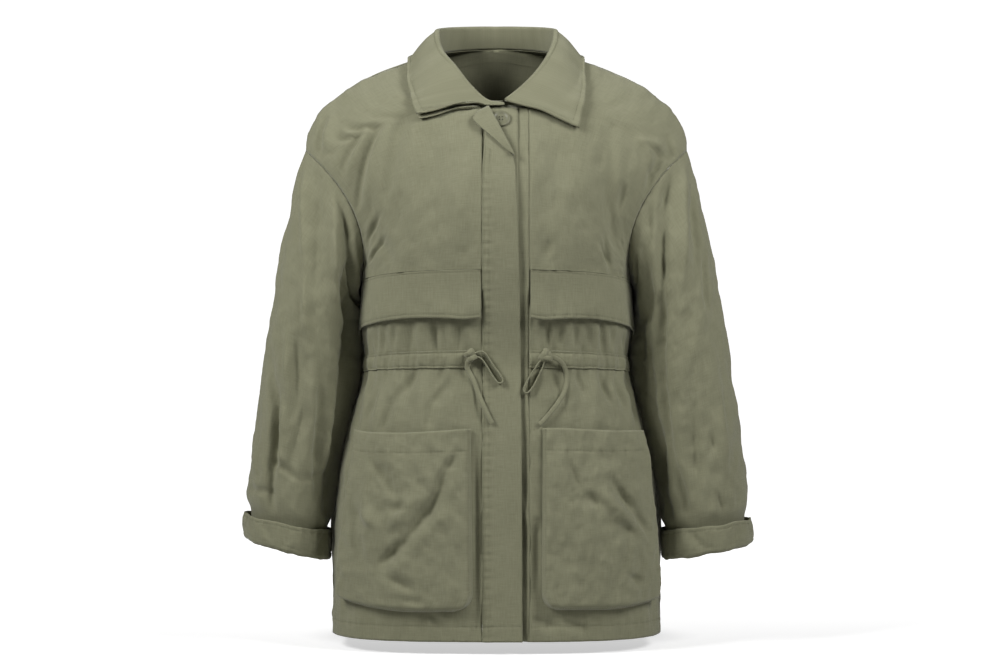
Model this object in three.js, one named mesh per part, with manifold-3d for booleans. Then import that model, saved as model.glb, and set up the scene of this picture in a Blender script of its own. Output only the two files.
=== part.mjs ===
// A hip-length utility jacket in light cotton twill, filled out as when worn, with nobody in it.
// Millimetres, +Z up, the front facing -Y and +X towards the wearer's left sleeve.
// The origin is the middle of the neck, level with the inner ends of the shoulder seams.
import * as THREE from "three";
import { mergeVertices } from "three/addons/utils/BufferGeometryUtils.js";
import Module from "manifold-3d";

const wasm = await Module();
wasm.setup();

// Cloth and seams
const CLOTH = 1.2; // one layer of twill with its seam allowances
const DOUBLE = 1.8; // two layers sewn together, as in the collar, placket and cuffs
const SEAM = 0.3; // between two pieces that are sewn edge to edge

// Levels at the centre front
const HEM = -745;
const POCKET_BOTTOM = -706;
const POCKET_TOP = -483;
const CASING_BOTTOM = -404;
const CASING_TOP = -382;
const FLAP_BOTTOM = -340;
const FLAP_SEAM = -281;
const ARMPIT = -277;
const FRONT_NECK = -66;

// The neck seam is an oval loop that drops to the front
const NECK = { half: 80, side: 5, front: 73, back: 67, rise: 17 };

// Distances from the centre front line, along the cloth
const PLACKET = { left: -17, right: 31 };
const BUTTON_BAND_EDGE = 41.5;
const POCKET = { depth: 9, belly: 3, corner: 12, side: 14, bottom: 12 };

// Rows of a table are joined by smooth curves. The key of each row is called at.

// The front from the hem up: depth forward of the axis at the centre line, drop of the level at
// the side, turn of the curve from the centre to its edge in degrees, how square the plan is, and
// the share of straight slope in the curve.
const FRONT = [
  { at: -745, depth: 129, drop: 0, turn: 90, square: 2.9, slope: 0 },
  { at: -640, depth: 128, drop: 0, turn: 90, square: 2.8, slope: 0 },
  { at: -560, depth: 126, drop: 0, turn: 90, square: 2.7, slope: 0 },
  { at: -487, depth: 122, drop: 1, turn: 90, square: 2.6, slope: 0 },
  { at: -440, depth: 116, drop: 4, turn: 90, square: 2.5, slope: 0 },
  { at: -400, depth: 110, drop: 8, turn: 90, square: 2.4, slope: 0 },
  { at: -365, depth: 112, drop: 14, turn: 90, square: 2.4, slope: 0 },
  { at: -330, depth: 118, drop: 20, turn: 90, square: 2.4, slope: 0 },
  { at: -277, depth: 125, drop: 15, turn: 90, square: 2.4, slope: 0 },
  { at: -225, depth: 126, drop: 0, turn: 78, square: 2.4, slope: 0 },
  { at: -170, depth: 119, drop: 0, turn: 66, square: 2.3, slope: 0 },
  { at: -115, depth: 97, drop: 0, turn: 62, square: 2.2, slope: 0.05 },
  { at: -66, depth: 68, drop: 0, turn: 66, square: 2.2, slope: 0.15 },
  { at: -30, depth: 40, drop: 0, turn: 76, square: 2.2, slope: 0.24 },
  { at: 0, depth: 0, drop: 0, turn: 90, square: 2.3, slope: 0.3 },
];

// The back in the same way. Above the nape the key runs on along the neck seam to the shoulder.
const NAPE = 17;
const BACK_TOP = 102;
const BACK = [
  { at: -745, depth: 116, drop: 0, turn: 90, square: 2.4, slope: 0 },
  { at: -640, depth: 117, drop: 0, turn: 90, square: 2.4, slope: 0 },
  { at: -560, depth: 114, drop: 0, turn: 90, square: 2.4, slope: 0 },
  { at: -487, depth: 108, drop: 1, turn: 90, square: 2.4, slope: 0 },
  { at: -440, depth: 100, drop: 4, turn: 90, square: 2.4, slope: 0 },
  { at: -400, depth: 94, drop: 8, turn: 90, square: 2.4, slope: 0 },
  { at: -365, depth: 96, drop: 14, turn: 90, square: 2.4, slope: 0 },
  { at: -330, depth: 100, drop: 20, turn: 90, square: 2.4, slope: 0 },
  { at: -277, depth: 107, drop: 15, turn: 90, square: 2.4, slope: 0 },
  { at: -200, depth: 116, drop: 0, turn: 76, square: 2.4, slope: 0 },
  { at: -120, depth: 115, drop: 0, turn: 68, square: 2.3, slope: 0 },
  { at: -50, depth: 100, drop: 0, turn: 68, square: 2.2, slope: 0.06 },
  { at: 17, depth: 72, drop: 0, turn: 72, square: 2.2, slope: 0.14 },
  { at: 59, depth: 40, drop: 0, turn: 80, square: 2.2, slope: 0.24 },
  { at: 102, depth: 0, drop: 0, turn: 90, square: 2.3, slope: 0.3 },
];

// Half width at the side seam, from the hem to the armpit.
const SIDE = [
  { at: -745, half: 212 },
  { at: -650, half: 211 },
  { at: -600, half: 209 },
  { at: -560, half: 206 },
  { at: -520, half: 200 },
  { at: -487, half: 192 },
  { at: -447, half: 182 },
  { at: -412, half: 172 },
  { at: -393, half: 169 },
  { at: -365, half: 171.5 },
  { at: -340, half: 175 },
  { at: -300, half: 176 },
  { at: -277, half: 174 },
];
const SIDE_SEAM_Y = 8;

// Rings of a sleeve: the key is the distance down it. Outer is the point on top of the arm and
// inner the one under it, y the middle, front and back the depths from there, and scoop how far the
// ring bends towards the neck at its middle. The first ring is the armhole.
const SLEEVE = [
  { at: 0, outerX: 248, outerZ: -123, innerX: 174, innerZ: -292, y: 8, front: 66, back: 64, scoop: 30 },
  { at: 38, outerX: 260, outerZ: -160, innerX: 179, innerZ: -305, y: 7, front: 69, back: 68, scoop: 22 },
  { at: 80, outerX: 269, outerZ: -205, innerX: 183, innerZ: -325, y: 6, front: 72, back: 70, scoop: 12 },
  { at: 125, outerX: 279, outerZ: -255, innerX: 185, innerZ: -350, y: 4, front: 73, back: 71, scoop: 4 },
  { at: 170, outerX: 287, outerZ: -305, innerX: 186, innerZ: -380, y: 1, front: 72, back: 70, scoop: 0 },
  { at: 220, outerX: 296, outerZ: -360, innerX: 188, innerZ: -415, y: -3, front: 70, back: 68, scoop: 0 },
  { at: 275, outerX: 305, outerZ: -420, innerX: 194, innerZ: -460, y: -7, front: 67, back: 65, scoop: 0 },
  { at: 335, outerX: 314, outerZ: -482, innerX: 204, innerZ: -512, y: -11, front: 63, back: 61, scoop: 0 },
  { at: 393, outerX: 323, outerZ: -543, innerX: 213, innerZ: -565, y: -14, front: 58, back: 57, scoop: 0 },
  { at: 428, outerX: 325, outerZ: -579, innerX: 216, innerZ: -600, y: -16, front: 54, back: 53, scoop: 0 },
  { at: 442, outerX: 321, outerZ: -593, innerX: 219, innerZ: -613, y: -16, front: 50, back: 50, scoop: 0 },
  { at: 478, outerX: 321, outerZ: -626, innerX: 219.5, innerZ: -645, y: -16, front: 50, back: 50, scoop: 0 },
];
const SLEEVE_END = 478;

// The right sleeve hangs a little closer and its end tilts a little more than the left one's.
const HANG = { right: { out: -4, up: 7 }, left: { out: 0, up: 0 } };

// The turned-up cuff, from its upper edge over its lower fold to the sleeve's end. The columns are
// those of a sleeve ring.
const CUFF = [
  { at: 0, outerX: 329.5, outerZ: -598, innerX: 213.5, innerZ: -613, y: -16, front: 57, back: 56, scoop: 0 },
  { at: 14, outerX: 331.5, outerZ: -608, innerX: 212.5, innerZ: -626, y: -16, front: 58, back: 57, scoop: 0 },
  { at: 28, outerX: 331.5, outerZ: -621, innerX: 213, innerZ: -641, y: -16, front: 58, back: 57, scoop: 0 },
  { at: 36, outerX: 330, outerZ: -629, innerX: 214, innerZ: -649, y: -16, front: 56.5, back: 56, scoop: 0 },
  { at: 40, outerX: 325.5, outerZ: -632, innerX: 216.5, innerZ: -652, y: -16, front: 53, back: 53, scoop: 0 },
  {
    at: 46, outerX: 319.8, outerZ: -627.7, innerX: 220.7, innerZ: -646.4,
    y: -16, front: 48.8, back: 48.8, scoop: 0,
  },
];

// Sections of the collar by the angle from the centre front to the nape: the stand's height, its
// lean outwards, where the outer edge of the fall lies, and how much the fall is crowned. The
// leaf of the wearer's right runs on over the centre line to meet the other.
const COLLAR_BACK = [
  { at: 65, stand: 30, lean: -2, edgeX: 114, edgeY: -24, edgeZ: -32, crown: 4 },
  { at: 90, stand: 31, lean: -3, edgeX: 113, edgeY: 9, edgeZ: -5, crown: 3 },
  { at: 120, stand: 29, lean: -4, edgeX: 98, edgeY: 66, edgeZ: -6, crown: 7 },
  { at: 150, stand: 27, lean: -4, edgeX: 56, edgeY: 97, edgeZ: -17, crown: 6 },
  { at: 180, stand: 26, lean: -4, edgeX: 0, edgeY: 107, edgeZ: -21, crown: 4 },
];
const COLLAR = {
  right: [
    { at: -7, stand: -3, lean: 4, edgeX: 100, edgeY: -80, edgeZ: -83, crown: 2 },
    { at: 8, stand: 0, lean: 3, edgeX: 104, edgeY: -73, edgeZ: -76, crown: 3 },
    { at: 22, stand: 11, lean: 1, edgeX: 107, edgeY: -62, edgeZ: -66, crown: 4 },
    { at: 42, stand: 28, lean: -1, edgeX: 111, edgeY: -45, edgeZ: -50, crown: 5 },
    ...COLLAR_BACK,
  ],
  left: [
    { at: 8, stand: -1, lean: 4, edgeX: 105, edgeY: -83, edgeZ: -101, crown: 3 },
    { at: 22, stand: 10, lean: 1, edgeX: 109, edgeY: -68, edgeZ: -80, crown: 4 },
    { at: 42, stand: 22, lean: -1, edgeX: 113, edgeY: -48, edgeZ: -58, crown: 5 },
    ...COLLAR_BACK,
  ],
};
const COLLAR_ROLL = 3;
const COLLAR_FOOT = 1.1; // of the stand above the neck seam

// Gathers that the waist drawcord makes: waves across, strongest beside the casing.
const GATHER = { level: -393, spacing: 31, height: 1.9, above: 46, below: 95 };

// The largest folds of each piece, as strokes from one place to another: across is the distance
// from the centre line and at the level, in millimetres; width and height are the fold's own.
const FOLDS = {
  front_upper_right: [
    { fromAcross: 150, fromAt: -60, toAcross: 178, toAt: -235, width: 15, height: -4 },
    { fromAcross: 182, fromAt: -95, toAcross: 205, toAt: -190, width: 12, height: 3 },
    { fromAcross: 120, fromAt: -180, toAcross: 172, toAt: -262, width: 13, height: -2.5 },
  ],
  front_upper_left: [
    { fromAcross: 150, fromAt: -55, toAcross: 184, toAt: -240, width: 16, height: -4 },
    { fromAcross: 190, fromAt: -80, toAcross: 208, toAt: -180, width: 11, height: 3 },
    { fromAcross: 96, fromAt: -70, toAcross: 64, toAt: -150, width: 14, height: -2 },
  ],
  front_lower_right: [
    { fromAcross: 60, fromAt: -420, toAcross: 128, toAt: -487, width: 14, height: -3 },
    { fromAcross: 100, fromAt: -418, toAcross: 108, toAt: -482, width: 11, height: 2.5 },
    { fromAcross: 24, fromAt: -470, toAcross: 24, toAt: -730, width: 12, height: -3 },
  ],
  front_lower_left: [
    { fromAcross: 52, fromAt: -500, toAcross: 54, toAt: -735, width: 12, height: -4 },
    { fromAcross: 120, fromAt: -420, toAcross: 150, toAt: -484, width: 13, height: 3 },
    { fromAcross: 72, fromAt: -415, toAcross: 96, toAt: -480, width: 12, height: -2.5 },
  ],
};

// Folds of the sleeves: turn is the angle round the sleeve in degrees, 0 on top and 90 in front.
const SLEEVE_FOLDS = {
  right: [
    { fromTurn: 70, fromAt: 10, toTurn: 62, toAt: 250, width: 15, height: -5 },
    { fromTurn: 118, fromAt: 20, toTurn: 108, toAt: 190, width: 14, height: -6 },
    { fromTurn: 40, fromAt: 60, toTurn: 48, toAt: 420, width: 16, height: 4 },
    { fromTurn: 92, fromAt: 260, toTurn: 98, toAt: 430, width: 14, height: -4 },
    { fromTurn: 250, fromAt: 20, toTurn: 262, toAt: 260, width: 18, height: -5 },
    { fromTurn: 300, fromAt: 180, toTurn: 290, toAt: 420, width: 16, height: -4 },
  ],
  left: [
    { fromTurn: 82, fromAt: 10, toTurn: 84, toAt: 270, width: 16, height: -6 },
    { fromTurn: 55, fromAt: 20, toTurn: 50, toAt: 300, width: 15, height: 5 },
    { fromTurn: 110, fromAt: 150, toTurn: 104, toAt: 400, width: 18, height: -4 },
    { fromTurn: 34, fromAt: 250, toTurn: 42, toAt: 436, width: 13, height: -4 },
    { fromTurn: 255, fromAt: 20, toTurn: 268, toAt: 240, width: 18, height: -5 },
    { fromTurn: 310, fromAt: 200, toTurn: 296, toAt: 430, width: 16, height: -4 },
  ],
};
const MM_PER_DEGREE = 1.08; // round a sleeve

const point = (x, y, z) => new THREE.Vector3(x, y, z);
const mix = (a, b, share) => a + (b - a) * share;
const clamp = (value, low, high) => Math.min(high, Math.max(low, value));
const radians = THREE.MathUtils.degToRad;
const smooth = (from, to, value) => {
  const t = clamp((value - from) / (to - from), 0, 1);
  return t * t * (3 - 2 * t);
};

// How finely the cloth is faceted
const FRONT_COLUMNS = 23;
const UPPER_COLUMNS = 12;
const BACK_COLUMNS = 14;
const SLEEVE_COLUMNS = 24;
const LOWER_ROWS = [
  HEM, -690, -630, -570, -520, POCKET_TOP, -455, -432, -417,
  CASING_BOTTOM, CASING_TOP, -370, -357, FLAP_BOTTOM, -308, FLAP_SEAM,
];
const ARM_STEPS = SLEEVE_COLUMNS / 2; // both halves of the armhole meet the sleeve point by point
const evenly = (count) => Array.from({ length: count + 1 }, (_, k) => k / count);
const armRows = (top) => evenly(ARM_STEPS).map((share) => mix(ARMPIT, top, share));
const UPPER_ROWS = [FLAP_SEAM, ...armRows(0), FRONT_NECK].sort((a, b) => a - b);
const BACK_ROWS = [
  HEM, -690, -630, -570, -520, -480, -450, -424, CASING_BOTTOM, CASING_TOP, -366, -345, -312,
  ...armRows(BACK_TOP), NAPE,
].sort((a, b) => a - b);
const SLEEVE_ROWS = [0, 28, 60, 96, 136, 180, 226, 274, 322, 368, 408, 432, 452, SLEEVE_END];

// The value of a column at a key, on a smooth curve through the table's rows.
function column(table, name, at) {
  const last = table.length - 1;
  if (at <= table[0].at) return table[0][name];
  if (at >= table[last].at) return table[last][name];
  let i = 0;
  while (table[i + 1].at < at) i += 1;
  const rise = (k) => (table[k + 1][name] - table[k][name]) / (table[k + 1].at - table[k].at);
  const slope = (k) => (k <= 0 || k >= last ? 0 : (rise(k - 1) + rise(k)) / 2);
  const wide = table[i + 1].at - table[i].at;
  const t = (at - table[i].at) / wide;
  const start = i === 0 ? rise(0) : slope(i);
  const end = i + 1 === last ? rise(last - 1) : slope(i + 1);
  return (
    (2 * t ** 3 - 3 * t ** 2 + 1) * table[i][name] +
    (t ** 3 - 2 * t ** 2 + t) * wide * start +
    (3 * t ** 2 - 2 * t ** 3) * table[i + 1][name] +
    (t ** 3 - t ** 2) * wide * end
  );
}

// A point of a ring of a sleeve or cuff, on the wearer's left.
function ringPoint(table, turn, at) {
  const c = Math.cos(radians(turn));
  const s = Math.sin(radians(turn));
  const value = (name) => column(table, name, at);
  const spread = (outer, inner) => mix(value(inner), value(outer), (1 + c) / 2);
  return point(
    spread("outerX", "innerX") - value("scoop") * s * s,
    value("y") - (s > 0 ? value("front") : value("back")) * s,
    spread("outerZ", "innerZ"),
  );
}

// How far a point of a sleeve or cuff moves with the way its sleeve hangs.
function hung(p, side, turn, weight) {
  const upper = (1 + Math.cos(radians(turn))) / 2;
  return p.add(point(HANG[side].out * weight * upper, 0, HANG[side].up * weight * upper));
}

// A point of the armhole seam, which is straight between the sleeve's columns.
function armholePoint(turn) {
  const step = 360 / SLEEVE_COLUMNS;
  const k = Math.floor(turn / step);
  const from = ringPoint(SLEEVE, k * step, 0);
  return from.lerp(ringPoint(SLEEVE, (k + 1) * step, 0), turn / step - k);
}

// A point of the neck seam, by the angle from the centre front.
function neckPoint(degrees) {
  const c = Math.cos(radians(degrees));
  const depth = c > 0 ? NECK.front : NECK.back;
  const lift = c > 0 ? FRONT_NECK * c : -NECK.rise * c;
  return point(NECK.half * Math.sin(radians(degrees)), NECK.side - depth * c, lift);
}

// The two ends of a level of the front, and of the back.
function frontEnds(at) {
  const inner =
    at <= FRONT_NECK
      ? point(0, -column(FRONT, "depth", at), at)
      : neckPoint(THREE.MathUtils.radToDeg(Math.acos(at / FRONT_NECK)));
  if (at <= ARMPIT) return [inner, sidePoint(FRONT, at)];
  return [inner, armholePoint(180 * (at / ARMPIT))];
}
function backEnds(at) {
  const inner =
    at <= NAPE
      ? point(0, column(BACK, "depth", at), at)
      : neckPoint(mix(180, 90, (at - NAPE) / (BACK_TOP - NAPE)));
  if (at <= ARMPIT) return [inner, sidePoint(BACK, at)];
  const share = (BACK_TOP - at) / (BACK_TOP - ARMPIT);
  return [inner, armholePoint(-180 * share)];
}
function sidePoint(table, at) {
  return point(column(SIDE, "half", at), SIDE_SEAM_Y, at - column(table, "drop", at));
}

// A level as a fine line with its running length, kept for the next call.
const LEVEL_STEPS = 72;
const kept = { front: new Map(), back: new Map() };
function level(side, at) {
  if (kept[side].has(at)) return kept[side].get(at);
  const table = side === "front" ? FRONT : BACK;
  const [inner, outer] = side === "front" ? frontEnds(at) : backEnds(at);
  const power = 2 / column(table, "square", at);
  const turn = radians(Math.min(90, column(table, "turn", at)));
  const slope = column(table, "slope", at);
  const line = [];
  const length = [0];
  for (let k = 0; k <= LEVEL_STEPS; k += 1) {
    const angle = (turn * k) / LEVEL_STEPS;
    const across = (Math.sin(angle) / Math.sin(turn)) ** power;
    const flat = Math.max(0, Math.cos(turn)) ** power;
    const round = (1 - Math.max(0, Math.cos(angle)) ** power) / (1 - flat);
    line.push(
      point(
        mix(inner.x, outer.x, across),
        mix(inner.y, outer.y, round),
        mix(inner.z, outer.z, mix(round, across, slope)),
      ),
    );
    if (k > 0) length.push(length[k - 1] + line[k].distanceTo(line[k - 1]));
  }
  const made = { line, length, total: length[LEVEL_STEPS], start: inner.x };
  kept[side].set(at, made);
  return made;
}

// The point of the body at a distance along a level, on the wearer's left.
function bodyPoint(side, across, at) {
  const { line, length, total } = level(side, at);
  const d = clamp(across, 0, total);
  let k = 1;
  while (k < LEVEL_STEPS && length[k] < d) k += 1;
  return line[k - 1].clone().lerp(line[k], (d - length[k - 1]) / (length[k] - length[k - 1]));
}

// How high a soft stroke stands at a place: a ridge, or a trough where its height is negative.
function stroke(fold, from, to, here) {
  const run = to.clone().sub(from);
  const share = clamp(here.clone().sub(from).dot(run) / run.lengthSq(), 0, 1);
  const off = here.distanceTo(from.clone().addScaledVector(run, share)) / fold.width;
  const fade = Math.sin(Math.PI * clamp(0.12 + 0.76 * share, 0, 1));
  return fold.height * fade * Math.exp(-off * off);
}
function foldHeight(folds, across, at) {
  const here = new THREE.Vector2(across, at);
  return folds.reduce((sum, fold) => {
    const from = new THREE.Vector2(fold.fromAcross, fold.fromAt);
    const to = new THREE.Vector2(fold.toAcross, fold.toAt);
    return sum + stroke(fold, from, to, here);
  }, 0);
}
function sleeveFoldHeight(folds, turn, at) {
  const here = new THREE.Vector2(turn * MM_PER_DEGREE, at);
  return folds.reduce((sum, fold) => {
    const from = new THREE.Vector2(fold.fromTurn * MM_PER_DEGREE, fold.fromAt);
    const to = new THREE.Vector2(fold.toTurn * MM_PER_DEGREE, fold.toAt);
    return sum + stroke(fold, from, to, here);
  }, 0);
}
function gatherHeight(across, at) {
  const away = at - GATHER.level;
  const reach = away > 0 ? GATHER.above : GATHER.below;
  const fade = Math.exp(-((away / reach) ** 2));
  const wave = Math.cos((2 * Math.PI * across) / GATHER.spacing + 1.1 * Math.sin(across / 31));
  return GATHER.height * fade * wave;
}

// The outward normal of a surface given as a function of two numbers.
function normalOf(surface, u, v, stepU, stepV, lowU, highU, lowV, highV) {
  const at = (a, b) => surface(clamp(a, lowU, highU), clamp(b, lowV, highV));
  const alongU = at(u + stepU, v).sub(at(u - stepU, v));
  const alongV = at(u, v + stepV).sub(at(u, v - stepV));
  return alongU.cross(alongV).normalize();
}

// A panel is a grid of points with normals. Its surface takes a share from 0 to 1 across and a
// level. The offset is how far the cloth stands out from there.
function panel({ side, rows, columns, edge = () => 0, folds = [], offset = () => 0, gap }) {
  const low = rows[0];
  const high = rows[rows.length - 1];
  const place = (share, at) => {
    const { total, start } = level(side, at);
    const from = Math.max(0, edge() - start) + (gap.inner ?? SEAM / 2);
    return mix(from, total - SEAM / 2, share);
  };
  const bare = (share, at) => bodyPoint(side, place(share, at), at);
  const turned = side === "front" ? 1 : -1;
  const normals = [];
  const points = rows.map((row) => {
    const at = row === low ? row + gap.low : row === high ? row - gap.high : row;
    const rowNormals = [];
    normals.push(rowNormals);
    return columns.map((share) => {
      const normal = normalOf(bare, share, at, 0.01, 2, 0, 1, low, high).multiplyScalar(turned);
      rowNormals.push(normal);
      const across = place(share, at);
      const lift = foldHeight(folds, across, at) + gatherHeight(across, at) + offset(across, at);
      return bare(share, at).addScaledVector(normal, lift);
    });
  });
  return { points, normals };
}

// Normals of points that two pieces share along a seam are made the same, so that walls don't cross.
const SEAM_REACH = 9;
function shareNormals(pieces) {
  const rims = pieces.map(({ points, normals, closed }) => {
    const rim = [];
    points.forEach((row, j) =>
      row.forEach((p, i) => {
        const onEnd = j === 0 || j === points.length - 1;
        const onSide = !closed && (i === 0 || i === row.length - 1);
        if (onEnd || onSide) rim.push({ p, i, j, n: normals[j][i].clone() });
      }),
    );
    return rim;
  });
  pieces.forEach((piece, own) => {
    for (const mine of rims[own]) {
      const sum = mine.n.clone();
      rims.forEach((rim, other) => {
        if (other === own) return;
        let best = null;
        for (const theirs of rim) {
          const d = theirs.p.distanceTo(mine.p);
          if (d < SEAM_REACH && (!best || d < best.d)) best = { d, n: theirs.n };
        }
        if (best) sum.add(best.n);
      });
      piece.normals[mine.j][mine.i] = sum.normalize();
    }
  });
}

// Triangles as a flat list of corner points.
function quad(list, a, b, c, d) {
  list.push(a, b, c, a, c, d);
}

// The wall between a grid of outer points and one of inner points. A closed grid runs all round.
// Where open holds for a row, the rim at its first column is left off, to be welded to a mirror image.
function wall(outer, inner, { closed = false, open = () => false } = {}) {
  const list = [];
  const rows = outer.length;
  const count = outer[0].length;
  const next = (i) => (closed ? (i + 1) % count : i + 1);
  const spans = closed ? count : count - 1;
  for (let j = 0; j < rows - 1; j += 1) {
    for (let i = 0; i < spans; i += 1) {
      const k = next(i);
      quad(list, outer[j][i], outer[j][k], outer[j + 1][k], outer[j + 1][i]);
      quad(list, inner[j][i], inner[j + 1][i], inner[j + 1][k], inner[j][k]);
    }
    if (closed) continue;
    if (!open(j)) quad(list, outer[j][0], outer[j + 1][0], inner[j + 1][0], inner[j][0]);
    const e = count - 1;
    quad(list, outer[j][e], inner[j][e], inner[j + 1][e], outer[j + 1][e]);
  }
  for (let i = 0; i < spans; i += 1) {
    const k = next(i);
    const t = rows - 1;
    quad(list, outer[0][i], inner[0][i], inner[0][k], outer[0][k]);
    quad(list, outer[t][i], outer[t][k], inner[t][k], inner[t][i]);
  }
  return list;
}
// A sheet of points made into a wall, half its thickness to each side.
function thick(points, thickness) {
  const rows = points.length;
  const count = points[0].length;
  const at = (j, i) => points[clamp(j, 0, rows - 1)][clamp(i, 0, count - 1)].clone();
  const side = (way) =>
    points.map((row, j) =>
      row.map((p, i) => {
        const alongU = at(j, i + 1).sub(at(j, i - 1));
        const alongV = at(j + 1, i).sub(at(j - 1, i));
        const normal = alongU.cross(alongV).normalize();
        return p.clone().addScaledVector(normal, (way * thickness) / 2);
      }),
    );
  return wall(side(1), side(-1));
}
const mirrored = (list) => {
  const made = [];
  for (let k = 0; k < list.length; k += 3) {
    made.push(...[list[k], list[k + 2], list[k + 1]].map((p) => point(-p.x, p.y, p.z)));
  }
  return made;
};

// A geometry from corner points, with its faces turned outwards.
function solid(list) {
  let volume = 0;
  for (let k = 0; k < list.length; k += 3) {
    volume += list[k].dot(list[k + 1].clone().cross(list[k + 2]));
  }
  const ordered = [];
  for (let k = 0; k < list.length; k += 3) {
    const [a, b, c] = list.slice(k, k + 3);
    ordered.push(...(volume < 0 ? [a, c, b] : [a, b, c]));
  }
  const flat = new THREE.BufferGeometry().setFromPoints(ordered);
  const made = mergeVertices(flat, 1e-3);
  made.computeVertexNormals();
  return made;
}
const inward = ({ points, normals }, thickness) =>
  points.map((row, j) => row.map((p, i) => p.clone().addScaledVector(normals[j][i], -thickness)));
const outward = ({ points, normals }, distance) => inward({ points, normals }, -distance);

// Materials
const twill = new THREE.MeshStandardMaterial({ color: 0x77765c, roughness: 0.86, metalness: 0 });
const horn = new THREE.MeshStandardMaterial({ color: 0x6f705a, roughness: 0.42, metalness: 0 });

const jacket = new THREE.Group();
function add(name, geometry, material = twill) {
  const mesh = new THREE.Mesh(geometry, material);
  mesh.name = name;
  jacket.add(mesh);
  return mesh;
}

// Fronts. The lower front starts under the storm flap, so it lies deeper there.
const UNDER_FLAP = { depth: 1.7, from: FLAP_BOTTOM - 4, to: FLAP_SEAM - 22 };
const underFlap = (across, at) => -UNDER_FLAP.depth * smooth(UNDER_FLAP.from, UNDER_FLAP.to, at);
const EDGE = { right: -PLACKET.left, left: BUTTON_BAND_EDGE };
const bothSides = ["right", "left"];
const fronts = {};
for (const side of bothSides) {
  const edge = () => EDGE[side];
  fronts[side] = {
    upper: panel({
      side: "front",
      rows: UPPER_ROWS,
      columns: evenly(UPPER_COLUMNS),
      edge,
      folds: FOLDS[`front_upper_${side}`],
      gap: { low: SEAM / 2, high: SEAM / 2 },
    }),
    lower: panel({
      side: "front",
      rows: LOWER_ROWS,
      columns: evenly(FRONT_COLUMNS),
      edge,
      folds: FOLDS[`front_lower_${side}`],
      offset: underFlap,
      gap: { low: 0, high: SEAM },
    }),
  };
}

// The back, one piece. Half of it is made and welded to its mirror image at the centre line.
const back = panel({
  side: "back",
  rows: BACK_ROWS,
  columns: evenly(BACK_COLUMNS),
  gap: { low: 0, high: SEAM / 2, inner: 0 },
});
back.points.forEach((row, j) => {
  if (BACK_ROWS[j] <= NAPE) row[0].x = 0;
});
back.normals.forEach((row, j) => {
  if (BACK_ROWS[j] <= NAPE) row[0].setX(0).normalize();
});

// Sleeves. Each tube is two half shells, in front and behind, which meet on top of the arm and at
// the seam under it.
const HALVES = { front: 0, back: 180 };
function sleeve(side, half) {
  const folds = SLEEVE_FOLDS[side];
  const bare = (turn, at) => hung(ringPoint(SLEEVE, turn, at), side, turn, smooth(170, 442, at));
  const gap = SEAM / 2 / MM_PER_DEGREE;
  const turns = evenly(ARM_STEPS).map((share) => HALVES[half] + clamp(180 * share, gap, 180 - gap));
  const made = { points: [], normals: [] };
  SLEEVE_ROWS.forEach((row, j) => {
    const at = j === 0 ? SEAM : row;
    made.points.push([]);
    made.normals.push([]);
    for (const turn of turns) {
      const normal = normalOf(bare, turn, at, 2, 3, -720, 720, 0, SLEEVE_END);
      const near = smooth(0, 30, at) * (1 - smooth(418, 440, at));
      const wrapped = turn < 20 ? [turn, turn + 360] : [turn];
      const lift = near * wrapped.reduce((sum, t) => sum + sleeveFoldHeight(folds, t, at), 0);
      made.normals[j].push(normal);
      made.points[j].push(bare(turn, at).addScaledVector(normal, lift));
    }
  });
  return made;
}
const sleeves = {};
for (const side of bothSides) {
  sleeves[side] = { front: sleeve(side, "front"), back: sleeve(side, "back") };
  const { upper, lower } = fronts[side];
  shareNormals([upper, lower, back, sleeves[side].front, sleeves[side].back]);
}

const place = { right: mirrored, left: (list) => list };
for (const side of bothSides) {
  const { upper, lower } = fronts[side];
  add(`front_upper_${side}`, solid(place[side](wall(upper.points, inward(upper, CLOTH)))));
  add(`front_lower_${side}`, solid(place[side](wall(lower.points, inward(lower, CLOTH)))));
  for (const [half, shell] of Object.entries(sleeves[side])) {
    add(`sleeve_${side}_${half}`, solid(place[side](wall(shell.points, inward(shell, CLOTH)))));
  }
}
const backWelded = (j) => BACK_ROWS[j + 1] <= NAPE;
const halfBack = wall(back.points, inward(back, CLOTH), { open: backWelded });
add("back", solid([...halfBack, ...mirrored(halfBack)]));

// Turned-up cuffs
const CUFF_TURNS = evenly(SLEEVE_COLUMNS).slice(0, -1).map((share) => 360 * share);
function cuff(side) {
  const rows = CUFF.map((row) => row.at);
  const bare = (turn, at) => hung(ringPoint(CUFF, turn, at), side, turn, 1);
  const points = rows.map((at) => CUFF_TURNS.map((turn) => bare(turn, at)));
  const end = rows[rows.length - 1];
  const normals = rows.map((at) =>
    CUFF_TURNS.map((turn) => normalOf(bare, turn, at, 2, 1, -720, 720, 0, end)),
  );
  return wall(points, inward({ points, normals }, DOUBLE), { closed: true });
}
for (const side of bothSides) add(`cuff_${side}`, solid(place[side](cuff(side))));

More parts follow.
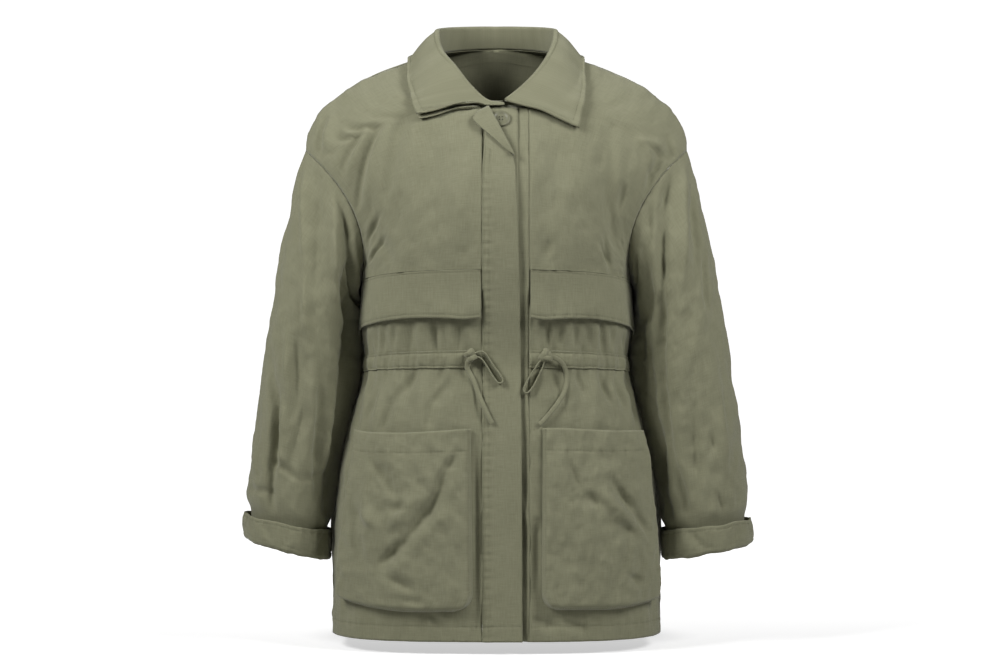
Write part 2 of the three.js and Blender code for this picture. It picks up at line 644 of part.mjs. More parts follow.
// Storm flaps: each hangs from the seam across the chest, straighter than the cloth under it.
const FLAP_COLUMNS = 13;
const FLAP_ROWS = [FLAP_SEAM - SEAM, -300, -320, FLAP_BOTTOM];
const FLAP_HANG = 0.62; // share of the way from the cloth's own slope to straight down
const FLAP_INSET = { edge: 1.5, side: 3 };
const FLAP_LIFT = { seam: 0.1, edge: 2.4, side: 4.5 };
function flap(side) {
  const start = EDGE[side] + FLAP_INSET.edge;
  const at = (share, row) => {
    const { total } = level("front", row);
    return bodyPoint("front", mix(start, total - FLAP_INSET.side, share), row);
  };
  const points = [];
  const normals = [];
  for (const row of FLAP_ROWS) {
    points.push([]);
    normals.push([]);
    for (const share of evenly(FLAP_COLUMNS)) {
      const top = at(share, FLAP_SEAM);
      const under = at(share, row);
      const drop = smooth(FLAP_SEAM, FLAP_BOTTOM, row);
      const straight = under.clone().lerp(point(top.x, top.y, under.z), FLAP_HANG * drop);
      const normal = normalOf(at, share, row, 0.01, 2, 0, 1, HEM, FLAP_SEAM);
      const lift = mix(FLAP_LIFT.seam, mix(FLAP_LIFT.edge, FLAP_LIFT.side, share), drop);
      points[points.length - 1].push(straight.addScaledVector(normal, lift));
      normals[normals.length - 1].push(normal);
    }
  }
  return wall(points, inward({ points, normals }, CLOTH));
}
for (const side of bothSides) add(`storm_flap_${side}`, solid(place[side](flap(side))));

// Casing of the waist drawcord: a strip sewn over each front, and one over the back.
const CASING_GAP = 0.5;
const CASING_START = { right: 2, left: 0 };
function casing(piece, rows, first) {
  const from = rows.indexOf(CASING_BOTTOM);
  const to = rows.indexOf(CASING_TOP) + 1;
  const strip = {
    points: piece.points.slice(from, to).map((row) => row.slice(first)),
    normals: piece.normals.slice(from, to).map((row) => row.slice(first)),
  };
  return [outward(strip, CASING_GAP + CLOTH), outward(strip, CASING_GAP)];
}
for (const side of bothSides) {
  const strip = casing(fronts[side].lower, LOWER_ROWS, CASING_START[side]);
  add(`waist_casing_${side}`, solid(place[side](wall(...strip))));
}
const halfCasing = wall(...casing(back, BACK_ROWS, 0), { open: () => true });
add("waist_casing_back", solid([...halfCasing, ...mirrored(halfCasing)]));

// Strips on the centre line are made from points of the front at signed distances from it.
function centrePoint(across, at) {
  const p = bodyPoint("front", Math.abs(across), at);
  return across < 0 ? point(-p.x, p.y, p.z) : p;
}
function centreStrip(left, right, columns, rows, depth) {
  const at = (share, row) => centrePoint(mix(left, right, share), row);
  const points = [];
  const normals = [];
  for (const row of rows) {
    points.push([]);
    normals.push([]);
    for (const share of evenly(columns)) {
      const normal = normalOf(at, share, row, 0.02, 2, 0, 1, HEM, FRONT_NECK);
      const across = mix(left, right, share);
      points[points.length - 1].push(at(share, row).addScaledVector(normal, depth(across, row)));
      normals[normals.length - 1].push(normal);
    }
  }
  return { points, normals };
}
const STRIP_ROWS = [HEM, -660, -570, -487, -440, -397, -357, -310, -260, -210, -170, -146, -120, -95];

// Button band of the wearer's left front: it lies lowest and rises to meet that front at its edge.
const BUTTON_BAND = { left: -13, depth: -3.1, rise: 33, top: FRONT_NECK - 2, columns: 5 };
const bandDepth = (across) =>
  mix(BUTTON_BAND.depth, 0, smooth(BUTTON_BAND.rise, BUTTON_BAND_EDGE, across));
const buttonBand = centreStrip(
  BUTTON_BAND.left, BUTTON_BAND_EDGE - SEAM, BUTTON_BAND.columns, [...STRIP_ROWS, BUTTON_BAND.top],
  bandDepth,
);
add("button_band", solid(wall(buttonBand.points, inward(buttonBand, CLOTH))));

// Buttonhole band: the under layer of the fly, on the wearer's right.
const HOLE_BAND = {
  left: PLACKET.left + SEAM, right: PLACKET.right - 3, depth: -1.4, top: FRONT_NECK - 5, columns: 3,
};
const holeBand = centreStrip(
  HOLE_BAND.left, HOLE_BAND.right, HOLE_BAND.columns, [...STRIP_ROWS, HOLE_BAND.top],
  () => HOLE_BAND.depth,
);
add("buttonhole_band", solid(wall(holeBand.points, inward(holeBand, CLOTH))));

// Placket: the outer layer of the fly. Its free edge leans in towards the neck, and its top corner
// is turned back over a slanting fold, from its high end beside the neck to its low end.
const PLACKET_EDGE = [
  { at: -745, across: 33 },
  { at: -400, across: 31 },
  { at: -230, across: 27.5 },
  { at: -150, across: 24 },
  { at: -66, across: 20 },
];
const PLACKET_LIFT = 0.9;
const TURN = {
  high: [-11, -77], low: [20.5, -138], tip: [-38, -87], end: [17.5, -136], roll: 2, rise: 2.3,
};
const PLACKET_SHARES = [0, 0.15, 0.3, 0.45, 0.6, 0.75, 0.9, 1];
const PLACKET_ROWS = [HEM, -660, -570, -483, -440, -400, -357, -310, -260, -215, -185, -165, -150];
const PLACKET_FAN = [0.25, 0.5, 0.75];
const PLACKET_ROLL = [0, 45, 90, 135, 180];
const PLACKET_FLAP = [0.25, 0.5, 0.75, 1];
function placket() {
  const level = (share, row) => [mix(PLACKET.left, column(PLACKET_EDGE, "across", row), share), row];
  const between = (a, b, t) => [mix(a[0], b[0], t), mix(a[1], b[1], t)];
  const onFold = (share) => between(TURN.high, TURN.low, share);
  const onEdge = (share) => between(TURN.tip, TURN.end, share);
  const lifted = ([across, at], lift) => {
    const held = Math.min(at, FRONT_NECK - 1);
    const normal = normalOf(centrePoint, across, held, 1, 2, -60, 60, HEM, FRONT_NECK);
    return centrePoint(across, held).addScaledVector(normal, PLACKET_LIFT + lift);
  };
  const last = PLACKET_ROWS[PLACKET_ROWS.length - 1];
  const line = (make) => PLACKET_SHARES.map(make);
  const over = (share, angle) => {
    const run = new THREE.Vector2(...onEdge(share)).sub(new THREE.Vector2(...onFold(share)));
    const reach = -TURN.roll * Math.sin(radians(angle)) / run.length();
    return lifted(
      between(onFold(share), onEdge(share), reach),
      TURN.rise + TURN.roll * (1 - Math.cos(radians(angle))),
    );
  };
  return [
    ...PLACKET_ROWS.map((row) => line((share) => lifted(level(share, row), 0))),
    ...PLACKET_FAN.map((t) =>
      line((share) => lifted(between(level(share, last), onFold(share), t), TURN.rise * t)),
    ),
    ...PLACKET_ROLL.map((angle) => line((share) => over(share, angle))),
    ...PLACKET_FLAP.map((t) =>
      line((share) =>
        lifted(between(onFold(share), onEdge(share), t), TURN.rise * (1 - t) + 2 * TURN.roll),
      ),
    ),
  ];
}
add("placket", solid(thick(placket(), DOUBLE)));

// Patch pockets with rounded lower corners. Each bag stands off the front inside its stitched edge.
const POCKET_COLUMNS = 13;
const POCKET_ROWS = [POCKET_BOTTOM, -702, -695, -680, -650, -610, -570, -530, -500, POCKET_TOP];
const POCKET_SIDES = {
  right: { inner: 31, innerLow: 29, outer: 194, outerLow: 214 },
  left: { inner: 58, innerLow: 57, outer: 211, outerLow: 225 },
};
const POCKET_GAP = 1.2;
const POCKET_FULL = -626; // where a bag stands off furthest
function pocketPlace(side, share, row) {
  const sides = POCKET_SIDES[side];
  const low = smooth(POCKET_TOP, POCKET_BOTTOM, row);
  const height = Math.max(0, POCKET.corner - (row - POCKET_BOTTOM));
  const inset = POCKET.corner - Math.sqrt(Math.max(0, POCKET.corner ** 2 - height ** 2));
  const from = mix(sides.inner, sides.innerLow, low) + inset;
  const to = mix(sides.outer, sides.outerLow, low) - inset;
  return mix(from, to, share);
}
function pocket(side) {
  const folds = FOLDS[`front_lower_${side}`];
  const shape = (share, row) => bodyPoint("front", pocketPlace(side, share, row), row);
  const points = [];
  const inner = [];
  for (const row of POCKET_ROWS) {
    points.push([]);
    inner.push([]);
    for (const share of evenly(POCKET_COLUMNS)) {
      const across = pocketPlace(side, share, row);
      const normal = normalOf(shape, share, row, 0.02, 4, 0, 1, HEM, FLAP_BOTTOM);
      const wide = pocketPlace(side, 1, row) - pocketPlace(side, 0, row);
      const fromSide = Math.min(share, 1 - share) * wide;
      const fromLow = row - POCKET_BOTTOM;
      const bag = smooth(0, POCKET.side, fromSide) * smooth(0, POCKET.bottom, fromLow);
      const cloth = foldHeight(folds, across, row) + gatherHeight(across, row);
      const full = POCKET.depth + POCKET.belly * smooth(POCKET_TOP, POCKET_FULL, row);
      const gap = POCKET_GAP + full * bag + Math.max(0, cloth) * (1 - bag);
      const base = shape(share, row);
      inner[inner.length - 1].push(base.clone().addScaledVector(normal, gap));
      points[points.length - 1].push(base.clone().addScaledVector(normal, gap + CLOTH));
    }
  }
  return wall(points, inner);
}
for (const side of bothSides) add(`pocket_${side}`, solid(place[side](pocket(side))));

// Collar: a low stand and a fall that turns over a soft roll, in one piece of two layers. It is
// followed by the angle from the nape, less than nought on the wearer's right.
function collarPoint(way, share) {
  const side = way < 0 ? "right" : "left";
  const degrees = 180 - Math.abs(way);
  const value = (name) => column(COLLAR[side], name, degrees);
  const base = neckPoint(degrees).add(point(0, 0, COLLAR_FOOT));
  const c = Math.cos(radians(degrees));
  const out = point(Math.sin(radians(degrees)) / NECK.half, -c / NECK.front, 0).normalize();
  const up = point(0, 0, 1);
  const roll = base.clone().addScaledVector(up, value("stand")).addScaledVector(out, value("lean"));
  const edge = point(value("edgeX"), value("edgeY"), value("edgeZ"));
  const standShare = 0.3;
  const rollShare = 0.42;
  let p;
  if (share < standShare) {
    const t = share / standShare;
    const inside = roll.clone().addScaledVector(out, -COLLAR_ROLL);
    p = base.clone().lerp(inside, t).addScaledVector(out, -1.2 * Math.sin(Math.PI * t));
  } else if (share <= rollShare) {
    const angle = (Math.PI * (share - standShare)) / (rollShare - standShare);
    p = roll
      .clone()
      .addScaledVector(out, -COLLAR_ROLL * Math.cos(angle))
      .addScaledVector(up, COLLAR_ROLL * Math.sin(angle));
  } else {
    const t = (share - rollShare) / (1 - rollShare);
    const start = roll.clone().addScaledVector(out, COLLAR_ROLL);
    const bend = start.clone().lerp(edge, 0.45);
    bend.addScaledVector(out, value("crown")).addScaledVector(up, value("crown"));
    p = start
      .clone()
      .multiplyScalar((1 - t) ** 2)
      .addScaledVector(bend, 2 * t * (1 - t))
      .addScaledVector(edge, t * t);
  }
  if (way < 0) p.x *= -1;
  if (share <= rollShare) return p;
  return clearOfBody(p, mix(0.5, COLLAR_CLEARANCE, smooth(rollShare, 0.6, share)));
}

// A point moved out until it clears the cloth under it, seen from straight outside.
const COLLAR_CLEARANCE = 5.9;
const ray = new THREE.Raycaster();
function clearOfBody(p, clearance) {
  const near = { best: Infinity };
  for (const { points, normals } of [fronts.left.upper, back]) {
    points.forEach((row, j) =>
      row.forEach((q, i) => {
        const d = q.distanceTo(point(Math.abs(p.x), p.y, p.z));
        if (d < near.best) Object.assign(near, { best: d, n: normals[j][i] });
      }),
    );
  }
  const out = point(near.n.x * Math.sign(p.x || 1), near.n.y, near.n.z);
  ray.set(p.clone().addScaledVector(out, 60), out.clone().negate());
  const [hit] = ray.intersectObjects(jacket.children);
  const height = hit ? hit.distance - 60 : Infinity;
  return height < clearance ? p.addScaledVector(out, clearance - height) : p;
}
const COLLAR_SHARES = [0, 0.15, 0.3, 0.36, 0.42, 0.56, 0.7, 0.85, 1];
const COLLAR_WAYS = [
  -187, -179, -170, -158, -145, -131, -119, -109, -100, -92, -84, -76, -67, -58, -47, -34, -17,
  0, 17, 34, 47, 58, 67, 76, 84, 92, 100, 109, 119, 131, 145, 158, 172,
];
const collar = COLLAR_SHARES.map((share) => COLLAR_WAYS.map((way) => collarPoint(way, share)));
add("collar", solid(thick(collar, DOUBLE)));

// Button at the neck: a turned rim, a dished face and four holes.
const BUTTON = { radius: 11.8, thick: 2.4, x: 6, z: -88.5, hole: 0.8, spread: 3.8, gap: 0.35 };
async function button() {
  const { radius, thick, hole, spread } = BUTTON;
  const profile = [
    [0, 0], [radius - 1.5, 0], [radius, 1.2], [radius - 0.4, thick - 0.3], [radius - 1.6, thick],
    [radius - 3.2, thick - 0.2], [radius - 4.2, thick - 1], [0, thick - 1],
  ].map(([r, h]) => new THREE.Vector2(r, h));
  const asManifold = (geometry) => {
    const bare = geometry.clone();
    bare.deleteAttribute("normal");
    bare.deleteAttribute("uv");
    const merged = mergeVertices(bare, 1e-4);
    return new wasm.Manifold(
      new wasm.Mesh({
        numProp: 3,
        vertProperties: merged.attributes.position.array,
        triVerts: new Uint32Array(merged.index.array),
      }),
    );
  };
  let made = asManifold(new THREE.LatheGeometry(profile, 20));
  for (const [x, z] of [[1, 1], [1, -1], [-1, -1], [-1, 1]]) {
    const drill = new THREE.CylinderGeometry(hole, hole, 3 * thick, 6).translate(
      (x * spread) / 2, 0, (z * spread) / 2,
    );
    made = made.subtract(asManifold(drill));
  }
  const mesh = made.getMesh();
  const geometry = new THREE.BufferGeometry();
  geometry.setAttribute("position", new THREE.BufferAttribute(new Float32Array(mesh.vertProperties), 3));
  geometry.setIndex(new THREE.BufferAttribute(new Uint32Array(mesh.triVerts), 1));
  geometry.computeVertexNormals();
  return geometry;
}
const buttonSeat = centrePoint(BUTTON.x, BUTTON.z);
const buttonWay = normalOf(centrePoint, BUTTON.x, BUTTON.z, 1, 2, -60, 60, HEM, FRONT_NECK);
const buttonMesh = add("button", await button(), horn);
buttonMesh.position.copy(buttonSeat.addScaledVector(buttonWay, HOLE_BAND.depth + BUTTON.gap));
buttonMesh.quaternion.setFromUnitVectors(point(0, 1, 0), buttonWay);

// Drawcords: a flat cord comes out of each end of the casing and is tied in a knot with one loop.
// The routes start at the knot, and the loops end there: places across from the centre line, level,
// and height off the cloth.
const CORD = { wide: 6, thick: 3, sides: 8, tailStep: 11, loopStep: 7 };
const KNOTS = {
  right: { across: -31, at: -388, lift: 6.3, wide: 13, high: 20, deep: 10, lean: 8 },
  left: { across: 61, at: -388, lift: 8.8, wide: 17, high: 16, deep: 10, lean: -30 },
};
const CORDS = {
  drawcord_right_tail: {
    knot: "right",
    route: [
      [-36, -402, 5], [-33, -410, 3.6], [-27.5, -421, 3.6], [-22, -436, 3.2], [-17, -448, 4.4],
      [-12, -459, 4.8], [-8, -467, 4.8], [-5, -473, 4.6],
    ],
  },
  drawcord_right_loop: {
    knot: "right",
    looped: true,
    route: [
      [-20, -383, 6.2], [-14, -385, 5.6], [-8, -393, 5.2], [-2, -403, 5], [4, -411, 5],
      [8, -418, 5], [7.5, -423, 5], [2.5, -423, 5], [-3.5, -415, 5], [-9.5, -405, 5.2],
      [-15, -396, 5.6], [-20, -391, 6.2],
    ],
  },
  drawcord_left_tail: {
    knot: "left",
    route: [
      [72, -391, 8], [78, -394, 7], [83.5, -400, 5.4], [87.5, -409, 3.4], [88.5, -421, 3.2],
      [85, -435, 3.2], [77, -448, 3.2], [67, -461, 3.2], [59, -470, 3.2], [54, -475, 3.2],
    ],
  },
  drawcord_left_loop: {
    knot: "left",
    looped: true,
    route: [
      [52, -398, 8], [47, -407, 6.4], [42, -415, 4.6], [37, -424, 4], [34.5, -431, 4],
      [37, -436, 4], [42, -433, 4], [47.5, -425, 4.2], [53, -414, 5], [57.5, -403, 7.4],
    ],
  },
};
const frontNormal = (across, at) => normalOf(centrePoint, across, at, 1, 2, -120, 120, HEM, FRONT_NECK);
const onFront = (across, at, lift) =>
  centrePoint(across, at).addScaledVector(frontNormal(across, at), lift);

// How far a point lies outside a knot, which is an ellipsoid.
function offKnot(k, p) {
  const local = p.clone().sub(onFront(k.across, k.at, k.lift));
  local.applyAxisAngle(point(0, 1, 0), -radians(k.lean));
  const reach = Math.hypot(local.x / (k.wide / 2), local.y / (k.deep / 2), local.z / (k.high / 2));
  return (1 - 1 / reach) * local.length();
}
function cord({ knot, looped, route }) {
  const k = KNOTS[knot];
  const centre = onFront(k.across, k.at, k.lift);
  const points = [centre, ...route.map(([across, at, lift]) => onFront(across, at, lift))];
  if (looped) points.push(centre.clone());
  const curve = new THREE.CatmullRomCurve3(points, false, "centripetal");
  const wide = looped ? CORD.thick : CORD.wide;
  const deep = looped ? CORD.wide * 0.8 : CORD.thick;
  const ringAt = (share) => {
    const at = curve.getPointAt(share);
    const way = curve.getTangentAt(share);
    const up = point(0, -1, 0).addScaledVector(way, way.y).normalize();
    const over = new THREE.Vector3().crossVectors(way, up);
    return Array.from({ length: CORD.sides }, (_, i) => {
      const angle = (2 * Math.PI * i) / CORD.sides;
      const rise = (deep / 2) * Math.cos(angle);
      return at.clone().addScaledVector(up, rise).addScaledVector(over, (wide / 2) * Math.sin(angle));
    });
  };
  const inKnot = (share) => ringAt(share).some((p) => offKnot(k, p) < SEAM);
  let from = 0;
  while (inKnot(from)) from += 0.002;
  let to = 1;
  while (inKnot(to)) to -= 0.002;
  const length = curve.getLength() * (to - from);
  const steps = Math.round(length / (looped ? CORD.loopStep : CORD.tailStep));
  const rings = Array.from({ length: steps + 1 }, (_, n) => ringAt(mix(from, to, n / steps)));
  const list = [];
  for (let n = 0; n < steps; n += 1) {
    for (let i = 0; i < CORD.sides; i += 1) {
      const j = (i + 1) % CORD.sides;
      quad(list, rings[n][i], rings[n][j], rings[n + 1][j], rings[n + 1][i]);
    }
  }
  for (let i = 1; i < CORD.sides - 1; i += 1) {
    list.push(rings[0][0], rings[0][i + 1], rings[0][i]);
    list.push(rings[steps][0], rings[steps][i], rings[steps][i + 1]);
  }
  return list;
}
for (const [name, details] of Object.entries(CORDS)) add(name, solid(cord(details)));
for (const [side, k] of Object.entries(KNOTS)) {
  const knot = new THREE.SphereGeometry(0.5, 12, 8).scale(k.wide, k.deep, k.high);
  knot.rotateY(radians(k.lean));
  const at = onFront(k.across, k.at, k.lift);
  add(`knot_${side}`, knot.translate(at.x, at.y, at.z));
}

export default jacket;
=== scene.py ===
import math

import bmesh
import bpy
import numpy as np
from mathutils import Matrix, Vector, noise
from mathutils.bvhtree import BVHTree


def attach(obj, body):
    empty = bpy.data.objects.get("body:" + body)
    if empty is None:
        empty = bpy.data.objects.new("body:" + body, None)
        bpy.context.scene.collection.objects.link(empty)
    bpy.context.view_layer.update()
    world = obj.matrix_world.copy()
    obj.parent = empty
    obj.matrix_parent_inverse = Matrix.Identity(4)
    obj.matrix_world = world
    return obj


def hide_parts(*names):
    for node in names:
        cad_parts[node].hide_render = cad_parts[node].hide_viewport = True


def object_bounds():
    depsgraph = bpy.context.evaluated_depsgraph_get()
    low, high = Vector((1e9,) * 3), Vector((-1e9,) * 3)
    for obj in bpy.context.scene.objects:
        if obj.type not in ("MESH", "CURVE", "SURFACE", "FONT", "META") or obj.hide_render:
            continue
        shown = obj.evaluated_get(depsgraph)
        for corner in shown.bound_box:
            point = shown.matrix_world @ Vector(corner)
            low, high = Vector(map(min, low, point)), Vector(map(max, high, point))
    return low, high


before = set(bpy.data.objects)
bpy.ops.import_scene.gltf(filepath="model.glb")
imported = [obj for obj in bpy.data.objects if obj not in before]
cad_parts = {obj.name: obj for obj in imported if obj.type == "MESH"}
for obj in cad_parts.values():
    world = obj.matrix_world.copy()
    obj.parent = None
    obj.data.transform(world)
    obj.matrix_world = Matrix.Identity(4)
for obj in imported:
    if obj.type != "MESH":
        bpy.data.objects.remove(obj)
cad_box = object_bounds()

# Camera: level with the middle of the jacket and square to its front, a little to the wearer's
# left of the centre line. The photograph's frame takes in 1310 mm at the jacket's middle plane.
CAMERA_PLACE = (0.010, -3.0, -0.364)
FRAME_WIDTH = 1.310

camera = bpy.data.cameras.new("camera")
camera.sensor_width = 36
camera.lens = camera.sensor_width * -CAMERA_PLACE[1] / FRAME_WIDTH
camera.clip_end = 50
camera_object = bpy.data.objects.new("camera", camera)
camera_object.location = CAMERA_PLACE
camera_object.rotation_euler = (math.radians(90), 0, 0)
bpy.context.collection.objects.link(camera_object)
bpy.context.scene.camera = camera_object

# Studio: a white floor that curves up into a white wall, lit by a broad soft light from each side
# above the jacket. The paper and the surroundings look white but throw little light back.
FLOOR_DROP = 0.016
FLOOR_LEVEL = cad_box[0][2] - FLOOR_DROP
FLOOR_HALF = 6.0
WALL_PLACE = 4.0
WALL_HEIGHT = 5.0
WALL_BEND = 2.0
WALL_STEPS = 16
WHITE = (1, 1, 1, 1)
WORLD_LIGHT = 0.045
PAPER_TONE = (0.66, 0.66, 0.66, 1)
PAPER_ROUGHNESS = 0.9
PAPER_GLOW = {"From Min": -0.1, "From Max": 0.7, "To Min": 0.55, "To Max": 0.97}
KEY = {"side": 1.65, "front": -1.15, "up": 1.1, "aim": (0, 0, 0.06), "size": 1.0, "spread": 100}

bpy.context.scene.view_settings.view_transform = "Standard"
world = bpy.data.worlds.new("studio")
world.use_nodes = True
surroundings = world.node_tree.nodes["Background"]
surroundings.inputs["Color"].default_value = WHITE
world_path = world.node_tree.nodes.new("ShaderNodeLightPath")
world_glow = world.node_tree.nodes.new("ShaderNodeMapRange")
world_glow.inputs["To Min"].default_value = WORLD_LIGHT
world.node_tree.links.new(world_path.outputs["Is Camera Ray"], world_glow.inputs["Value"])
world.node_tree.links.new(world_glow.outputs[0], surroundings.inputs["Strength"])
bpy.context.scene.world = world


def soft_light(name, side, power):
    """A square lamp beside and above the jacket, turned to its neck."""
    lamp = bpy.data.lights.new(name, "AREA")
    lamp.shape = "RECTANGLE"
    lamp.size = lamp.size_y = KEY["size"]
    lamp.energy = power
    lamp.spread = math.radians(KEY["spread"])
    lamp_object = bpy.data.objects.new(name, lamp)
    place = Vector((side * KEY["side"], KEY["front"], KEY["up"]))
    lamp_object.location = place
    lamp_object.rotation_euler = (Vector(KEY["aim"]) - place).to_track_quat("-Z", "Y").to_euler()
    bpy.context.collection.objects.link(lamp_object)


def made_parts(result, kind, key="geom"):
    return [part for part in result[key] if isinstance(part, kind)]


soft_light("key_left", side=-1, power=19.5)
soft_light("key_right", side=1, power=16.5)

floor_mesh = bmesh.new()
front_edge = [floor_mesh.verts.new((x, -FLOOR_HALF, FLOOR_LEVEL)) for x in (-FLOOR_HALF, FLOOR_HALF)]
edge = floor_mesh.edges.new(front_edge)
run = bmesh.ops.extrude_edge_only(floor_mesh, edges=[edge])
moved = made_parts(run, bmesh.types.BMVert)
bmesh.ops.translate(floor_mesh, vec=(0, FLOOR_HALF + WALL_PLACE - WALL_BEND, 0), verts=moved)
bend = bmesh.ops.spin(
    floor_mesh, geom=moved + made_parts(run, bmesh.types.BMEdge),
    cent=(0, WALL_PLACE - WALL_BEND, FLOOR_LEVEL + WALL_BEND), axis=(1, 0, 0), angle=math.radians(90),
    steps=WALL_STEPS,
)
wall_foot = made_parts(bend, bmesh.types.BMEdge, "geom_last")
rise = bmesh.ops.extrude_edge_only(floor_mesh, edges=wall_foot)
bmesh.ops.translate(floor_mesh, vec=(0, 0, WALL_HEIGHT), verts=made_parts(rise, bmesh.types.BMVert))
bmesh.ops.recalc_face_normals(floor_mesh, faces=floor_mesh.faces)
floor_data = bpy.data.meshes.new("studio_floor")
floor_mesh.to_mesh(floor_data)
floor_mesh.free()
for polygon in floor_data.polygons:
    polygon.use_smooth = True
floor = bpy.data.objects.new("studio_floor", floor_data)
bpy.context.collection.objects.link(floor)
floor_paint = bpy.data.materials.new("white_paper")
floor_paint.use_nodes = True
paper = floor_paint.node_tree.nodes["Principled BSDF"]
paper.inputs["Base Color"].default_value = PAPER_TONE
paper.inputs["Roughness"].default_value = PAPER_ROUGHNESS
paper.inputs["Emission Color"].default_value = WHITE
paper_path = floor_paint.node_tree.nodes.new("ShaderNodeLightPath")
paper_glow = floor_paint.node_tree.nodes.new("ShaderNodeMapRange")
for name, value in PAPER_GLOW.items():
    paper_glow.inputs[name].default_value = value
paper_place = floor_paint.node_tree.nodes.new("ShaderNodeTexCoord")
paper_parts = floor_paint.node_tree.nodes.new("ShaderNodeSeparateXYZ")
paper_seen = floor_paint.node_tree.nodes.new("ShaderNodeMath")
paper_seen.operation = "MULTIPLY"
for start, end in (
    (paper_place.outputs["Object"], paper_parts.inputs[0]),
    (paper_parts.outputs[1], paper_glow.inputs["Value"]), (paper_glow.outputs[0], paper_seen.inputs[0]),
    (paper_path.outputs["Is Camera Ray"], paper_seen.inputs[1]),
    (paper_seen.outputs[0], paper.inputs["Emission Strength"]),
):
    floor_paint.node_tree.links.new(start, end)
floor_data.materials.append(floor_paint)

# The worn form, in millimetres: the levels of the front and the back, the side seam, the rings of
# the sleeves and the neck seam, as smooth curves through short tables. Every panel lies on it.
MM = 0.001
HEM, ARMPIT, FRONT_NECK, NAPE, BACK_TOP = -745, -277, -66, 17, 102
FLAP_SEAM, FLAP_BOTTOM = -281, -340
CASING_TOP, CASING_BOTTOM = -382, -404
POCKET_TOP, POCKET_BOTTOM = -483, -706
NECK = {"half": 80, "side": 5, "front": 73, "back": 67, "rise": 17}
SIDE_SEAM_Y = 8
CLOTH = 1.2
DOUBLE = 1.8
SEAM = 0.3


def table(names, *rows):
    return [dict(zip(names.split(), row)) for row in rows]


FRONT = table(
    "at depth drop turn square slope",
    (-745, 129, 0, 90, 2.9, 0), (-640, 128, 0, 90, 2.8, 0), (-560, 126, 0, 90, 2.7, 0),
    (-487, 122, 1, 90, 2.6, 0), (-440, 116, 4, 90, 2.5, 0), (-400, 110, 8, 90, 2.4, 0),
    (-365, 112, 14, 90, 2.4, 0), (-330, 118, 20, 90, 2.4, 0), (-277, 125, 15, 90, 2.4, 0),
    (-225, 126, 0, 78, 2.4, 0), (-170, 119, 0, 66, 2.3, 0), (-115, 97, 0, 62, 2.2, 0.05),
    (-66, 68, 0, 66, 2.2, 0.15), (-30, 40, 0, 76, 2.2, 0.24), (0, 0, 0, 90, 2.3, 0.3),
)
BACK = table(
    "at depth drop turn square slope",
    (-745, 116, 0, 90, 2.4, 0), (-640, 117, 0, 90, 2.4, 0), (-560, 114, 0, 90, 2.4, 0),
    (-487, 108, 1, 90, 2.4, 0), (-440, 100, 4, 90, 2.4, 0), (-400, 94, 8, 90, 2.4, 0),
    (-365, 96, 14, 90, 2.4, 0), (-330, 100, 20, 90, 2.4, 0), (-277, 107, 15, 90, 2.4, 0),
    (-200, 116, 0, 76, 2.4, 0), (-120, 115, 0, 68, 2.3, 0), (-50, 100, 0, 68, 2.2, 0.06),
    (17, 72, 0, 72, 2.2, 0.14), (59, 40, 0, 80, 2.2, 0.24), (102, 0, 0, 90, 2.3, 0.3),
)
SIDE = table(
    "at half",
    (-745, 212), (-650, 211), (-600, 209), (-560, 206), (-520, 200), (-487, 192), (-447, 182),
    (-412, 172), (-393, 169), (-365, 171.5), (-340, 175), (-300, 176), (-277, 174),
)
SLEEVE = table(
    "at outer_x outer_z inner_x inner_z y front back scoop",
    (0, 248, -123, 174, -292, 8, 66, 64, 30), (38, 260, -160, 179, -305, 7, 69, 68, 22),
    (80, 269, -205, 183, -325, 6, 72, 70, 12), (125, 279, -255, 185, -350, 4, 73, 71, 4),
    (170, 287, -305, 186, -380, 1, 72, 70, 0), (220, 296, -360, 188, -415, -3, 70, 68, 0),
    (275, 305, -420, 194, -460, -7, 67, 65, 0), (335, 314, -482, 204, -512, -11, 63, 61, 0),
    (393, 323, -543, 213, -565, -14, 58, 57, 0), (428, 325, -579, 216, -600, -16, 54, 53, 0),
    (442, 321, -593, 219, -613, -16, 50, 50, 0), (478, 321, -626, 219.5, -645, -16, 50, 50, 0),
)
SLEEVE_END = 478
HANG = {"right": {"out": -4, "up": 7}, "left": {"out": 0, "up": 0}}
HANDS = ("right", "left")


def column(rows, name, at):
    keys = np.array([row["at"] for row in rows], float)
    values = np.array([row[name] for row in rows], float)
    rise = np.diff(values) / np.diff(keys)
    slope = np.concatenate([rise[:1], (rise[1:] + rise[:-1]) / 2, rise[-1:]])
    x = np.clip(at, keys[0], keys[-1])
    k = np.clip(np.searchsorted(keys, x, side="right") - 1, 0, len(keys) - 2)
    wide = keys[k + 1] - keys[k]
    t = (x - keys[k]) / wide
    return (
        (2 * t**3 - 3 * t**2 + 1) * values[k]
        + (t**3 - 2 * t**2 + t) * wide * slope[k]
        + (3 * t**2 - 2 * t**3) * values[k + 1]
        + (t**3 - t**2) * wide * slope[k + 1]
    )


def points(x, y, z):
    return np.stack(np.broadcast_arrays(x, y, z), -1).astype(float)


def mix(a, b, share):
    return a + (b - a) * share


def ease(start, end, value):
    t = np.clip((value - start) / (end - start), 0, 1)
    return t * t * (3 - 2 * t)


def unit(vectors):
    return vectors / np.maximum(np.linalg.norm(vectors, axis=-1, keepdims=True), 1e-9)


def cos_sin(degrees):
    return np.cos(np.radians(degrees)), np.sin(np.radians(degrees))


def sided(place, across):
    """Points made for the wearer's left, mirrored where across is less than nought."""
    return place * points(np.where(across < 0, -1, 1), 1, 1)


